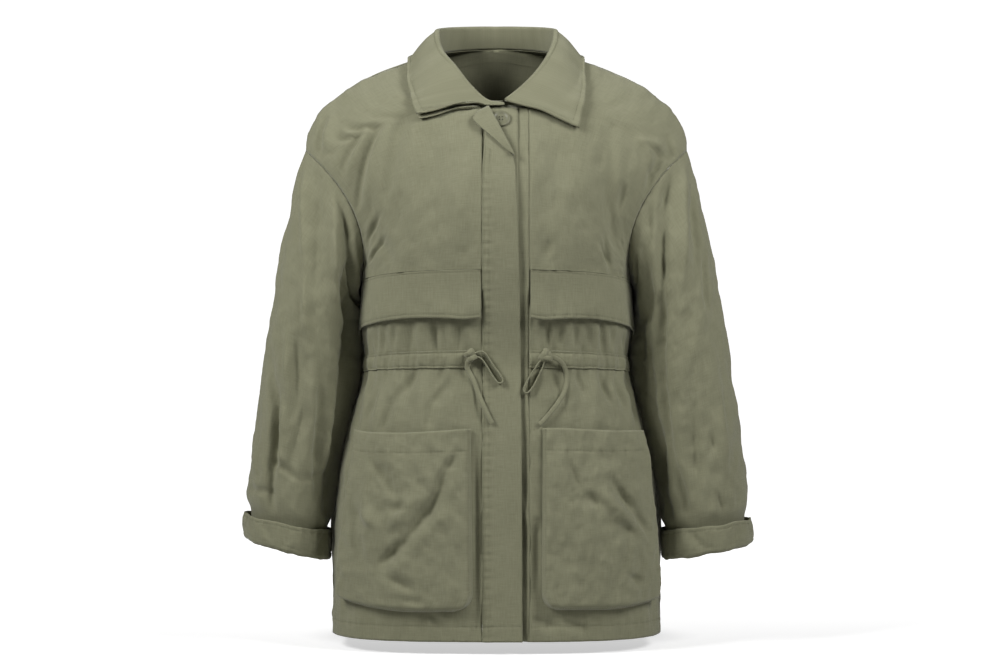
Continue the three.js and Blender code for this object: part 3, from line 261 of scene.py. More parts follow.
def ring_point(rows, turn, at):
    c, s = cos_sin(turn)
    upper = (1 + c) / 2
    depth = np.where(s > 0, column(rows, "front", at), column(rows, "back", at))
    return points(
        mix(column(rows, "inner_x", at), column(rows, "outer_x", at), upper)
        - column(rows, "scoop", at) * s * s, column(rows, "y", at) - depth * s,
        mix(column(rows, "inner_z", at), column(rows, "outer_z", at), upper),
    )


def neck_point(degrees):
    c, s = cos_sin(degrees)
    depth = np.where(c > 0, NECK["front"], NECK["back"])
    lift = np.where(c > 0, FRONT_NECK * c, -NECK["rise"] * c)
    return points(NECK["half"] * s, NECK["side"] - depth * c, lift)


def level_ends(face, at):
    top = FRONT_NECK if face == "front" else NAPE
    rows = FRONT if face == "front" else BACK
    out = -1 if face == "front" else 1
    centre = points(0, out * column(rows, "depth", at), at)
    side = points(column(SIDE, "half", at), SIDE_SEAM_Y, at - column(rows, "drop", at))
    if face == "front":
        neck = neck_point(np.degrees(np.arccos(np.clip(at / FRONT_NECK, 0, 1))))
        turn = 180 * at / ARMPIT
    else:
        neck = neck_point(mix(180, 90, (at - NAPE) / (BACK_TOP - NAPE)))
        turn = -180 * (BACK_TOP - at) / (BACK_TOP - ARMPIT)
    armhole = ring_point(SLEEVE, turn, np.zeros_like(at))
    inner = np.where((at <= top)[:, None], centre, neck)
    outer = np.where((at <= ARMPIT)[:, None], side, armhole)
    return inner, outer


LEVEL_STEPS = 72


def level_lines(face, at):
    rows = FRONT if face == "front" else BACK
    inner, outer = level_ends(face, at)
    power = (2 / column(rows, "square", at))[:, None]
    turn = np.radians(np.minimum(90, column(rows, "turn", at)))[:, None]
    slope = column(rows, "slope", at)[:, None]
    angle = turn * np.linspace(0, 1, LEVEL_STEPS + 1)[None]
    across = (np.sin(angle) / np.sin(turn)) ** power
    flat = np.maximum(0, np.cos(turn)) ** power
    round_off = (1 - np.maximum(0, np.cos(angle)) ** power) / (1 - flat)
    shares = np.stack([across, round_off, mix(round_off, across, slope)], -1)
    line = inner[:, None] + (outer - inner)[:, None] * shares
    steps = np.linalg.norm(np.diff(line, axis=1), axis=-1)
    length = np.concatenate([np.zeros((len(at), 1)), np.cumsum(steps, axis=1)], 1)
    return line, length


def body_point(face, across, at):
    rows, which = np.unique(np.round(at, 4), return_inverse=True)
    line, length = level_lines(face, rows)
    made = np.empty((len(at), 3))
    for r in range(len(rows)):
        mine = which == r
        for axis in range(3):
            made[mine, axis] = np.interp(across[mine], length[r], line[r, :, axis])
    return made


def level_span(face, at):
    """The whole length of the level at each place, and how far across it starts."""
    rows, which = np.unique(np.round(at, 4), return_inverse=True)
    line, length = level_lines(face, rows)
    return length[which, -1], line[which, 0, 0]


# The soft folds of the cloth: each is a stroke from one place to another with a bow, a width and a
# height, which is less than nought in a trough. It falls off fast on one side and slowly, with a
# shallow dip, on the other.
FOLD = "x0 z0 x1 z1 bow width height"
FOLD_SIDES = {"fast": 0.7, "slow": 1.35}
FOLD_DIP = {"place": 1.9, "share": 0.25}
FOLD_ENDS = {"start": 0.06, "run": 0.88, "power": 0.8}


def fold_height(folds, x, z):
    height = np.zeros_like(x)
    for fold in folds:
        start = np.array([fold["x0"], fold["z0"]], float)
        run = np.array([fold["x1"], fold["z1"]], float) - start
        size = np.hypot(*run)
        way = run / size
        along = ((x - start[0]) * way[0] + (z - start[1]) * way[1]) / size
        share = np.clip(along, 0, 1)
        aside = (x - start[0]) * way[1] - (z - start[1]) * way[0]
        aside = aside - fold["bow"] * 4 * share * (1 - share)
        side = aside / (fold["width"] * np.where(aside > 0, FOLD_SIDES["slow"], FOLD_SIDES["fast"]))
        beyond = (along - share) * size / fold["width"]
        fade = np.sin(np.pi * (FOLD_ENDS["start"] + FOLD_ENDS["run"] * share)) ** FOLD_ENDS["power"]
        dip = FOLD_DIP["share"] * np.exp(-((side - FOLD_DIP["place"]) ** 2) - beyond**2)
        height += fold["height"] * fade * (np.exp(-(side**2) - beyond**2) - dip)
    return height


GATHER = {"level": -393, "spacing": 31, "height": 1.9, "above": 46, "below": 95, "fine_reach": 27}


def uneven_turns(x, length, swing, over):
    """The phase of a wave of that length, which swings, so that no two crests are alike."""
    return 2 * np.pi * x / length + swing * np.sin(x / over)


def gather_height(x, z):
    away = z - GATHER["level"]
    reach = np.where(away > 0, GATHER["above"], GATHER["below"])
    broad = np.cos(uneven_turns(x, GATHER["spacing"], swing=1.1, over=31))
    near = np.exp(-((away / GATHER["fine_reach"]) ** 2))
    fine = np.cos(uneven_turns(x, 11.7, swing=1.7, over=23) + 0.8 * np.sin(z / 9))
    finer = np.cos(uneven_turns(x, 7.3, swing=2.3, over=17))
    return np.exp(-((away / reach) ** 2)) * GATHER["height"] * broad + near * (0.75 * fine + 0.3 * finer)


def unevenness(spots, height):
    """Smooth noise with three octaves, the same at every run."""
    return height * np.array([noise.fractal(Vector(s), 1.0, 2.0, 3) for s in spots])


def rumple(x, z, seed, size, height):
    """Slow unevenness of cloth that has been worn."""
    return unevenness(np.stack([x / size, z / (size * 1.6), np.full_like(x, seed)], -1), height)


def crumple(x, z, seed, height):
    """The small creases between the folds."""
    return rumple(x, z, seed + 20, 11, height)


GROOVE_HALF = 1.1


def seam_line(along, off, depth=0.4, pull=0.3, reach=7):
    """A row of stitches: a fine groove, and the cloth drawn up into small puckers beside it."""
    wave = np.sin(uneven_turns(along, 11.3, swing=1.3, over=17))
    wave = wave + 0.7 * np.sin(uneven_turns(along, 6.9, swing=2, over=29))
    return pull * wave * np.exp(-np.abs(off) / reach) - depth * np.exp(-((off / GROOVE_HALF) ** 2))


# A piece of cloth is a grid that is laid on its own surface and given its thickness. Its UV map
# holds metres along the cloth, so that weave and stitches keep their real size.
CLOSE_STEPS = (-1.6, -0.8, 0, 0.8, 1.6)
CLOSE_REACH = 2.2
JOIN_REACH = 2e-5


def spaced(low, high, step, close=()):
    """Even places from low to high, with closer ones beside the places in close."""
    places = list(np.linspace(low, high, max(2, int(round((high - low) / step)) + 1)))
    for p in close:
        places = [q for q in places if abs(q - p) > CLOSE_REACH or q in (low, high)]
        places += [p + off for off in CLOSE_STEPS if low < p + off < high]
    return np.array(sorted(places))


def add_grid(mesh, us, vs, surface, mirror=False, spread=None):
    """One grid of cloth: spread gives the width in millimetres that a unit of u stands for."""
    before = len(mesh.verts)
    bmesh.ops.create_grid(mesh, x_segments=len(us) - 1, y_segments=len(vs) - 1, size=0.5)
    mesh.verts.ensure_lookup_table()
    mesh.verts.index_update()
    mine = mesh.verts[before:]
    flat = np.array([v.co[:2] for v in mine]) + 0.5
    i = np.rint(flat[:, 0] * (len(us) - 1)).astype(int)
    j = np.rint(flat[:, 1] * (len(vs) - 1)).astype(int)
    u, v = us[i], vs[j]
    place = surface(u, v) * MM
    if mirror:
        place = place * np.array([-1, 1, 1])
    wide = u if spread is None else u * spread
    layer = mesh.loops.layers.uv.get("cloth") or mesh.loops.layers.uv.new("cloth")
    for vert, spot in zip(mine, place):
        vert.co = spot
    made = {f for vert in mine for f in vert.link_faces}
    for face in made:
        for loop in face.loops:
            k = loop.vert.index - before
            loop[layer].uv = (wide[k] * MM, v[k] * MM)
        face.smooth = True
    if mirror:
        bmesh.ops.reverse_faces(mesh, faces=list(made))


def as_piece(name, mesh, material, thickness=None, middle=False, join=False):
    """An object from a bmesh, which rides on the jacket, with its thickness where it is cloth."""
    if join:
        bmesh.ops.remove_doubles(mesh, verts=mesh.verts, dist=JOIN_REACH)
    data = bpy.data.meshes.new(name)
    mesh.to_mesh(data)
    mesh.free()
    for polygon in data.polygons:
        polygon.use_smooth = True
    data.materials.append(material)
    piece = bpy.data.objects.new(name, data)
    bpy.context.collection.objects.link(piece)
    if thickness:
        wall = piece.modifiers.new("thickness", "SOLIDIFY")
        wall.thickness = thickness * MM
        wall.offset = 0 if middle else -1
    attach(piece, "root")
    return piece


def lay_cloth(name, us, vs, surface, thickness, mirror=False, join=False, middle=False, spread=None):
    mesh = bmesh.new()
    add_grid(mesh, us, vs, surface, mirror, spread)
    return as_piece(name, mesh, TWILL, thickness=thickness, middle=middle, join=join)


def normal_of(surface, u, v, step_u=1.0, step_v=2.0):
    along_u = surface(u + step_u, v) - surface(u - step_u, v)
    along_v = surface(u, v + step_v) - surface(u, v - step_v)
    return unit(np.cross(along_u, along_v))


def raised(surface, u, v, lift, step_u=1.0, step_v=2.0):
    normal = normal_of(surface, u, v, step_u, step_v)
    return surface(u, v) + normal * np.broadcast_to(lift, u.shape)[:, None]


def run_length(line):
    """How far along a line of points each of them lies."""
    return np.concatenate([[0], np.cumsum(np.linalg.norm(np.diff(line, axis=0), axis=1))])


# Topstitching: short rounded stitches of thread, half sunk in the cloth, one after the other along
# a line on a surface.
STITCH = {"pitch": 3.2, "length": 2.4, "thick": 0.55, "flat": 0.8, "lift": 0.12}
ON_CLOTH = 0.1


def stitch_along(mesh, spots, normals):
    """Adds the stitches of one line, which runs through spots, to a mesh."""
    length = run_length(spots)
    for k in range(int(length[-1] / STITCH["pitch"])):
        middle = (k + 0.5) * STITCH["pitch"]
        ends = [
            np.array([np.interp(s, length, spots[:, a]) for a in range(3)])
            for s in (middle - STITCH["length"] / 2, middle + STITCH["length"] / 2)
        ]
        up = np.array([np.interp(middle, length, normals[:, a]) for a in range(3)])
        way = Vector(ends[1] - ends[0])
        up = Vector(up).normalized()
        side = way.cross(up).normalized()
        up = side.cross(way).normalized()
        centre = Vector((ends[0] + ends[1]) / 2) + up * STITCH["lift"]
        frame_matrix = Matrix((side, up, way.normalized())).transposed().to_4x4()
        bmesh.ops.create_icosphere(
            mesh, subdivisions=1, radius=0.5 * MM,
            matrix=Matrix.Translation(centre * MM)
            @ frame_matrix
            @ Matrix.Diagonal((STITCH["thick"], STITCH["thick"] * STITCH["flat"], way.length, 1)),
        )


def stitch_lines(name, lines):
    """One object of stitches. Each line is a surface, its places u and v, and whether to mirror it."""
    mesh = bmesh.new()
    for surface, u, v, mirror in lines:
        u, v = (np.asarray(a, float) for a in np.broadcast_arrays(u, v))
        spots = surface(u, v)
        normals = normal_of(surface, u, v, 0.4, 0.4)
        side = np.array([-1 if mirror else 1, 1, 1])
        stitch_along(mesh, spots * side, normals * side)
    return as_piece(name, mesh, THREAD)


# Twill: a dense cotton weave with fine diagonal ribs, slightly uneven yarns and a soft matt face.
TWILL_COLOUR = (0.196, 0.195, 0.123, 1)
TWILL_PALE = (0.24, 0.239, 0.158, 1)
TWILL_DARK = (0.148, 0.147, 0.088, 1)


WEAVE = {"slant": 1.75, "ribs": 0.05, "yarns": 0.5, "clouds": 0.22, "rib_height": 0.3}


def socket(group, name, kind, way, value=None):
    made = group.interface.new_socket(name=name, in_out=way, socket_type=kind)
    if value is not None:
        made.default_value = value
    return made


def weave_group():
    """Twill ribs, uneven yarns and slow changes of shade, from a UV map in metres."""
    group = bpy.data.node_groups.new("twill_weave", "ShaderNodeTree")
    socket(group, "Vector", "NodeSocketVector", "INPUT")
    socket(group, "Rib Width", "NodeSocketFloat", "INPUT", 0.0011)
    socket(group, "Shade", "NodeSocketFloat", "OUTPUT")
    socket(group, "Height", "NodeSocketFloat", "OUTPUT")
    nodes, links = group.nodes, group.links
    entry = nodes.new("NodeGroupInput")
    leave = nodes.new("NodeGroupOutput")

    def math_node(kind, a, b=None):
        node = nodes.new("ShaderNodeMath")
        node.operation = kind
        for k, value in enumerate((a, b)):
            if value is None:
                continue
            if isinstance(value, (int, float)):
                node.inputs[k].default_value = value
            else:
                links.new(value, node.inputs[k])
        return node.outputs[0]

    parts = nodes.new("ShaderNodeSeparateXYZ")
    links.new(entry.outputs["Vector"], parts.inputs[0])
    slant = math_node("ADD", math_node("MULTIPLY", parts.outputs[0], WEAVE["slant"]), parts.outputs[1])
    turns = math_node("DIVIDE", slant, entry.outputs["Rib Width"])
    ribs = math_node("SINE", math_node("MULTIPLY", turns, 2 * math.pi))

    def streaks(scale):
        stretch = nodes.new("ShaderNodeVectorMath")
        stretch.operation = "MULTIPLY"
        stretch.inputs[1].default_value = scale
        links.new(entry.outputs["Vector"], stretch.inputs[0])
        texture = nodes.new("ShaderNodeTexNoise")
        texture.noise_dimensions = "2D"
        texture.inputs["Scale"].default_value = 1
        texture.inputs["Detail"].default_value = 2
        links.new(stretch.outputs[0], texture.inputs["Vector"])
        return math_node("SUBTRACT", texture.outputs["Fac"], 0.5)

    weft = streaks((70, 900, 1))
    warp = streaks((800, 60, 1))
    cloudy = streaks((22, 16, 1))
    yarns = math_node("MULTIPLY", math_node("ADD", weft, warp), WEAVE["yarns"])
    shade = math_node("ADD", yarns, math_node("MULTIPLY", cloudy, WEAVE["clouds"]))
    shade = math_node("ADD", shade, math_node("MULTIPLY", ribs, WEAVE["ribs"]))
    links.new(math_node("ADD", shade, 0.5), leave.inputs["Shade"])
    height = math_node("ADD", math_node("MULTIPLY", ribs, WEAVE["rib_height"]), yarns)
    links.new(height, leave.inputs["Height"])
    return group


TWILL_WEAVE = weave_group()


def new_material(name, **values):
    """A material with the values on its shader, and its nodes and links."""
    material = bpy.data.materials.new(name)
    material.use_nodes = True
    shader = material.node_tree.nodes["Principled BSDF"]
    for key, value in values.items():
        shader.inputs[key.replace("_", " ")].default_value = value
    return material, shader, material.node_tree.nodes, material.node_tree.links


def speckled(nodes, links, scale, dark, pale):
    """Two colours, mixed by a fine noise that is fixed to the piece."""
    place = nodes.new("ShaderNodeTexCoord")
    texture = nodes.new("ShaderNodeTexNoise")
    texture.inputs["Scale"].default_value = scale
    links.new(place.outputs["Object"], texture.inputs["Vector"])
    colours = nodes.new("ShaderNodeValToRGB")
    colours.color_ramp.elements[0].color = dark
    colours.color_ramp.elements[1].color = pale
    links.new(texture.outputs["Fac"], colours.inputs["Fac"])
    return colours.outputs["Color"]


def twill_material():
    material, shader, nodes, links = new_material(
        "olive_twill", Roughness=0.88, Specular_IOR_Level=0.25, Sheen_Weight=0.18, Sheen_Roughness=0.5
    )
    where = nodes.new("ShaderNodeUVMap")
    where.uv_map = "cloth"
    weave = nodes.new("ShaderNodeGroup")
    weave.node_tree = TWILL_WEAVE
    links.new(where.outputs["UV"], weave.inputs["Vector"])
    colours = nodes.new("ShaderNodeValToRGB")
    colours.color_ramp.elements[0].color = TWILL_DARK
    colours.color_ramp.elements[1].color = TWILL_PALE
    colours.color_ramp.elements.new(0.5).color = TWILL_COLOUR
    links.new(weave.outputs["Shade"], colours.inputs["Fac"])
    links.new(colours.outputs["Color"], shader.inputs["Base Color"])
    bump = nodes.new("ShaderNodeBump")
    bump.inputs["Strength"].default_value = 0.35
    bump.inputs["Distance"].default_value = 0.0004
    links.new(weave.outputs["Height"], bump.inputs["Height"])
    links.new(bump.outputs["Normal"], shader.inputs["Normal"])
    return material


def thread_material():
    """Dyed cotton thread, a little glossier than the cloth and finely speckled."""
    material, shader, nodes, links = new_material("olive_thread", Roughness=0.7, Specular_IOR_Level=0.3)
    links.new(speckled(nodes, links, 900, TWILL_DARK, TWILL_COLOUR), shader.inputs["Base Color"])
    return material


TWILL = twill_material()
THREAD = thread_material()

# Fronts, cut from twill. The upper one runs from the shoulder to the chest seam. The lower one hangs
# from there, behind the storm flap, through the gathered waist to the turned-up, stitched hem.
PLACKET_LEFT = -17
BUTTON_BAND_EDGE = 41.5
FRONT_EDGE = {"right": -PLACKET_LEFT, "left": BUTTON_BAND_EDGE}
HEM_STITCH = HEM + 19
STEP = 3.0
UPPER_FOLDS = {
    "right": table(
        FOLD, (164, -18, 206, -58, 0, 5.5, -5), (158, -48, 218, -90, 0, 5.5, -5),
        (154, -25, 204, -62, 0, 5, 3.5), (148, -50, 200, -135, 0, 6.5, -8),
        (158, -52, 208, -105, 0, 5, 4.5), (118, -55, 152, -158, 0, 9.5, -6),
        (192, -190, 162, -172, 0, 5, -4.5), (190, -240, 156, -212, 0, 5, -4.5),
        (84, -90, 96, -250, 5, 18, -4), (44, -150, 50, -262, 0, 12, 2.5),
        (176, -205, 140, -268, 4, 8.5, -4.5),
    ),
    "left": table(
        FOLD, (216, -85, 218, -115, 0, 5, -5), (178, -42, 228, -65, 0, 5.5, -6),
        (186, -58, 220, -88, 0, 5, 4.5), (228, -65, 220, -110, 0, 5.5, -5),
        (178, -125, 174, -158, 0, 6.5, -5), (140, -225, 156, -258, 0, 4, -4),
        (150, -210, 160, -278, 0, 5, -5), (70, -242, 62, -265, 0, 5.5, -3),
        (138, -112, 134, -128, 0, 5.5, -2.5), (150, -70, 176, -225, 6, 13, -6),
        (92, -85, 66, -220, -4, 17, -3.5),
    ),
}
LOWER_FOLDS = {
    "right": table(
        FOLD, (166, -347, 168, -376, 0, 4, -3), (154, -345, 154, -378, 0, 4, -3.5),
        (134, -347, 136, -374, 0, 4, -2.5), (110, -345, 109, -376, 0, 5, -3),
        (78, -344, 77, -380, 0, 4, -5), (66, -347, 66, -378, 0, 4, -2.5),
        (46, -347, 47, -376, 0, 4, -3), (154, -408, 178, -468, 0, 6, -4.5),
        (98, -405, 140, -452, 0, 6, -5.5), (140, -452, 152, -482, 0, 6, -4.5),
        (70, -405, 72, -420, 0, 4, -3), (58, -420, 84, -452, 0, 6, -4.5),
        (84, -452, 86, -480, 0, 6, -3.5), (26, -420, 20, -470, 0, 5, -3),
        (120, -408, 124, -440, 0, 5, 3), (24, -490, 23, -735, 0, 5.5, -6.5),
        (82, -712, 68, -728, 0, 5, -3), (206, -500, 208, -735, 0, 9, -4),
    ),
    "left": table(
        FOLD, (66, -344, 66, -380, 0, 4, -5), (60, -347, 59, -376, 0, 4, -2.5),
        (82, -347, 82, -376, 0, 4, -3), (102, -346, 102, -376, 0, 4, -3),
        (120, -347, 120, -376, 0, 4, -2.5), (142, -343, 143, -380, 0, 4, -5),
        (160, -346, 160, -376, 0, 4, -3.5), (188, -346, 188, -376, 0, 5, -4),
        (102, -408, 116, -438, 0, 5, -4), (136, -408, 158, -452, 0, 5, -5),
        (158, -452, 163, -478, 0, 6, -3.5), (160, -406, 180, -450, 0, 5, -4),
        (186, -408, 206, -440, 0, 6, -4.5), (206, -440, 214, -474, 0, 6, -4),
        (70, -407, 86, -444, 0, 5, -4), (52, -595, 52, -690, 0, 5, -4.5),
        (42, -713, 78, -727, 0, 5, -4), (84, -717, 112, -730, 0, 5, -4),
        (218, -500, 220, -735, 0, 9, -4),
    ),
}
SEED = {"right": 3.1, "left": 8.7}
FOLD_FADE = 14
FRONT_FADE = 9
CHEST_STITCH = FLAP_SEAM + 2
ARMHOLE_STITCH = 5
UNDER_FLAP = {"depth": 1.7, "low": FLAP_BOTTOM - 4, "high": FLAP_SEAM - 22}


def bare_front(across, at):
    return body_point("front", across, np.clip(at, HEM, 0))


def front_span(hand, at):
    """The places along a level where a front starts at its edge and ends at the seam."""
    total, start = level_span("front", np.clip(at, HEM, 0))
    return np.maximum(0, FRONT_EDGE[hand] - start) + SEAM / 2, total


def front_across(hand, share, at):
    inner, outer = front_span(hand, at)
    return mix(inner, outer, share)


def upper_front(hand, share, at, lift=0.0):
    across = front_across(hand, share, at)
    inner, outer = front_span(hand, at)
    height = fold_height(UPPER_FOLDS[hand], across, at)
    height = height + rumple(across, at, SEED[hand], size=30, height=2.2)
    height = height * ease(0, FOLD_FADE, outer - across) + gather_height(across, at)
    height = height + crumple(across, at, SEED[hand], height=0.45)
    height = height * ease(-1, FRONT_FADE, across - inner)
    height += seam_line(across, at - CHEST_STITCH, depth=0.2, pull=0.35)
    armhole = seam_line(at, outer - across - ARMHOLE_STITCH, depth=0.35, pull=0.3, reach=6)
    height += armhole * ease(ARMPIT, ARMPIT + 30, at)
    return raised(bare_front, across, at, height + lift)


def lower_cloth(hand, across, at, lift=0.0):
    height = fold_height(LOWER_FOLDS[hand], across, at) + gather_height(across, at)
    height += crumple(across, at, SEED[hand] + 1, height=0.8)
    inner, outer = front_span(hand, at)
    height = height * ease(-1, FRONT_FADE, across - inner)
    height += rumple(across, at, SEED[hand] + 1, size=28, height=1.6) * ease(0, FOLD_FADE, outer - across)
    height -= UNDER_FLAP["depth"] * ease(UNDER_FLAP["low"], UNDER_FLAP["high"], at)
    height += seam_line(across, at - HEM_STITCH, depth=0.45, pull=0.5, reach=12)
    return raised(bare_front, across, at, height + lift)


def lower_front(hand, share, at, lift=0.0):
    return lower_cloth(hand, front_across(hand, share, at), at, lift)


front_pieces = []
for hand in HANDS:
    flip = hand == "right"
    shares = np.linspace(0, 1, 66)
    upper = lay_cloth(
        f"upper_front_cloth_{hand}", shares,
        spaced(FLAP_SEAM + SEAM / 2, -SEAM / 2, STEP, (CHEST_STITCH,)),
        lambda u, v: upper_front(hand, u, v), CLOTH, mirror=flip, spread=195,
    )
    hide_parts(f"front_upper_{hand}")
    shares = np.linspace(0, 1, 78)
    lower = lay_cloth(
        f"lower_front_cloth_{hand}", shares, spaced(HEM, FLAP_SEAM - SEAM, STEP, (HEM_STITCH,)),
        lambda u, v: lower_front(hand, u, v), CLOTH, mirror=flip, spread=235,
    )
    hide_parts(f"front_lower_{hand}")
    stitches = stitch_lines(
        f"front_stitches_{hand}",
        [(lambda u, v: lower_front(hand, u, v, ON_CLOTH), np.linspace(0.005, 0.995, 90), HEM_STITCH, flip)],
    )
    front_pieces += [upper, lower]

# Back: one piece of twill from the hem to the shoulders and the neck, gathered at the waist like the
# fronts and plain above it. Its hem is turned up and stitched.
BACK_FOLDS = table(
    FOLD, (40, -30, 120, -230, -8, 16, -5), (-46, -20, -128, -220, 8, 17, -5),
    (150, -90, 196, -230, 0, 14, -6.5), (-150, -100, -190, -240, 0, 13, -6.5),
    (70, -300, 58, -372, 0, 10, 4), (-82, -290, -66, -372, 0, 11, 4), (10, -250, 4, -370, 3, 14, -4),
    (96, -414, 122, -560, 6, 15, -5.5), (-60, -412, -92, -590, -6, 15, 5.5),
    (30, -412, 22, -640, 4, 16, 5), (-132, -415, -150, -640, 4, 16, -5.5),
    (160, -420, 176, -700, 0, 15, 5),
)


def bare_back(across, at):
    return body_point("back", np.abs(across), np.clip(at, HEM, BACK_TOP))


def back_total(at):
    return level_span("back", np.clip(at, HEM, BACK_TOP))[0]


def back_across(share, at):
    inner = np.where(np.round(at, 4) > NAPE, SEAM / 2, 0)
    return mix(inner, back_total(at), share)


# The back is cut wider than the fronts, and its fullness stands out beside each side seam.
SIDE_FULLNESS = {"inset": 27, "width": 14}
SIDE_HEIGHT = table(
    "at out", (-745, 2), (-690, 4), (-620, 11), (-520, 10), (-430, 12),
    (-345, 13), (-305, 13), (-285, 8), (-262, 0),
)


def side_fullness(across, at):
    aside = (back_total(at) - across - SIDE_FULLNESS["inset"]) / SIDE_FULLNESS["width"]
    return np.maximum(0, column(SIDE_HEIGHT, "out", at)) * np.exp(-(aside**2))


def back_cloth(across, at, sign, lift=0.0):
    """A point of the back, made on the wearer's left: sign is -1 for the other half."""
    place = bare_back(across, at)
    normal = -normal_of(
        lambda u, v: body_point("back", np.maximum(u, 0), np.clip(v, HEM, BACK_TOP)), across, at
    )
    middle = (across < 0.01) & (at <= NAPE)
    normal[middle, 0] = 0
    normal = unit(normal)
    x = across * sign
    height = fold_height(BACK_FOLDS, x, at) + gather_height(across, at)
    height += rumple(x, at, 5.3, size=44, height=1.1) * ease(0, FOLD_FADE, back_total(at) - across)
    height += seam_line(x, at - HEM_STITCH, depth=0.45, pull=0.5, reach=12)
    height += side_fullness(across, at)
    return place + normal * (height + lift)[:, None]


def back_half(share, at, sign, lift=0.0):
    return back_cloth(back_across(share, at), at, sign, lift)


back_mesh = bmesh.new()
back_shares = np.linspace(0, 1, 62)
back_levels = spaced(HEM, BACK_TOP - SEAM / 2, 3.4, (HEM_STITCH,))
nape_level = np.argmin(np.abs(back_levels - NAPE))
back_levels[nape_level] = NAPE
for sign in (1, -1):
    add_grid(
        back_mesh, back_shares, back_levels[::-1], lambda u, v: back_half(u, v, sign), mirror=sign < 0,
        spread=215 * sign,
    )
back_piece = as_piece("back_cloth", back_mesh, TWILL, thickness=CLOTH, join=True)
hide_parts("back")
FACING_STITCH = NAPE - 15
FACING_SHARES = np.linspace(0.01, 0.42, 40)
BACK_HEM_SHARES = np.linspace(0.995, 0, 90)
INSIDE_CLOTH = -CLOTH - 0.3
back_stitches = stitch_lines(
    "back_stitches",
    [
        (lambda u, v: back_half(u, v, 1, INSIDE_CLOTH), FACING_SHARES, FACING_STITCH, False),
        (lambda u, v: back_half(u, v, -1, INSIDE_CLOTH), FACING_SHARES, FACING_STITCH, True),
        (lambda u, v: back_half(np.clip(u, 0, 1), v, 1, ON_CLOTH), BACK_HEM_SHARES, HEM_STITCH, False),
        (lambda u, v: back_half(np.clip(u, 0, 1), v, -1, ON_CLOTH), BACK_HEM_SHARES, HEM_STITCH, True),
    ],
)

# Sleeves: wide and straight tubes of twill, set into a dropped armhole. Long soft folds hang from
# the armhole and break up above the turned-up cuff. Turn is 0 on top of the arm and 90 in front.
SLEEVE_FOLD = "x0 z0 x1 z1 bow width height"
MM_PER_DEGREE = 1.08
SLEEVE_RADIUS = 62
SLEEVE_FOLDS = {
    "right": table(
        SLEEVE_FOLD,
        (20, 32, 28, 52, 0, 4, -4.5), (40, 4, 98, 145, 0, 12, -7), (26, 28, 72, 128, 0, 5.5, 5.5),
        (72, 128, 88, 195, 0, 5.5, 5.5), (70, 22, 120, 115, 0, 6.5, 6.5),
        (66, 6, 106, 38, 0, 6.5, -9.5), (106, 38, 174, 82, 0, 7.5, -12.5),
        (146, 70, 156, 175, 0, 8.5, -9), (183, 60, 183, 300, 0, 22, 10),
        (183, 290, 183, 476, 0, 16, 4.5), (114, 46, 150, 130, 0, 12, -11),
        (150, 120, 155, 410, 0, 13, -12), (38, 245, 70, 378, 4, 8.5, -7.5),
        (58, 278, 72, 474, 0, 6.5, -8.5), (64, 290, 78, 378, 0, 5.5, 6.5),
        (60, 202, 74, 288, 0, 5.5, 5), (76, 208, 92, 322, 0, 9.5, -6.5),
        (100, 285, 90, 372, 0, 7.5, -6.5), (110, 230, 136, 402, 0, 8.5, -9.5),
        (140, 315, 140, 350, 0, 5, 5), (150, 248, 158, 328, 0, 7.5, -9.5),
        (60, 374, 106, 386, 3, 5, -3.5), (112, 384, 156, 368, 0, 5, -3), (26, 416, 72, 410, 0, 4, -4),
        (252, 20, 266, 250, 0, 16, -8), (300, 150, 286, 420, 0, 14, -7), (216, 60, 230, 300, 0, 13, -7),
        (330, 120, 322, 350, 0, 12, -6),
    ),
    "left": table(
        SLEEVE_FOLD,
        (26, 6, 80, 130, 0, 7.5, 6.5), (44, 4, 66, 35, 0, 6.5, -9), (66, 35, 112, 120, 0, 7.5, -10.5),
        (112, 120, 124, 192, 0, 8.5, -11), (124, 182, 132, 340, 0, 8.5, -9),
        (130, 345, 118, 436, 0, 7.5, -6.5), (76, 8, 92, 40, 0, 5, -5), (118, 30, 146, 48, 0, 5.5, -6.5),
        (183, 60, 183, 300, 0, 22, 10), (183, 290, 183, 476, 0, 16, 4.5),
        (114, 66, 146, 140, 0, 10.5, -10), (148, 130, 155, 410, 0, 13, -11),
        (142, 90, 158, 270, 0, 7.5, 6.5), (14, 18, 60, 145, 0, 8.5, -6.5),
        (34, 115, 50, 185, 4, 5, -5.5), (84, 262, 104, 392, 3, 9.5, -7.5),
        (72, 330, 72, 354, 0, 4, -3.5), (20, 266, 18, 294, 0, 4, -3.5), (76, 404, 68, 440, 0, 4, -5),
        (50, 230, 60, 380, 0, 8.5, 5.5), (120, 431, 106, 434, 0, 4, -3.5),
        (256, 20, 268, 240, 0, 17, -8), (310, 190, 296, 430, 0, 14, -7), (222, 70, 212, 320, 0, 13, -7),
        (336, 90, 344, 330, 0, 10.5, -6.5),
    ),
}


def hung(place, hand, turn, weight):
    upper = (1 + np.cos(np.radians(turn))) / 2 * weight
    return place + points(HANG[hand]["out"] * upper, 0 * upper, HANG[hand]["up"] * upper)


def bare_sleeve(hand, turn, at):
    weight = ease(170, 442, at)
    return hung(ring_point(SLEEVE, turn, np.clip(at, 0, SLEEVE_END)), hand, turn, weight)


def sleeve_folds(folds, turn, at):
    total = np.zeros_like(turn)
    for shift in (-360, 0, 360):
        shifted = [{**f, "x0": f["x0"] * MM_PER_DEGREE, "x1": f["x1"] * MM_PER_DEGREE} for f in folds]
        total += fold_height(shifted, (turn + shift) * MM_PER_DEGREE, at)
    return total


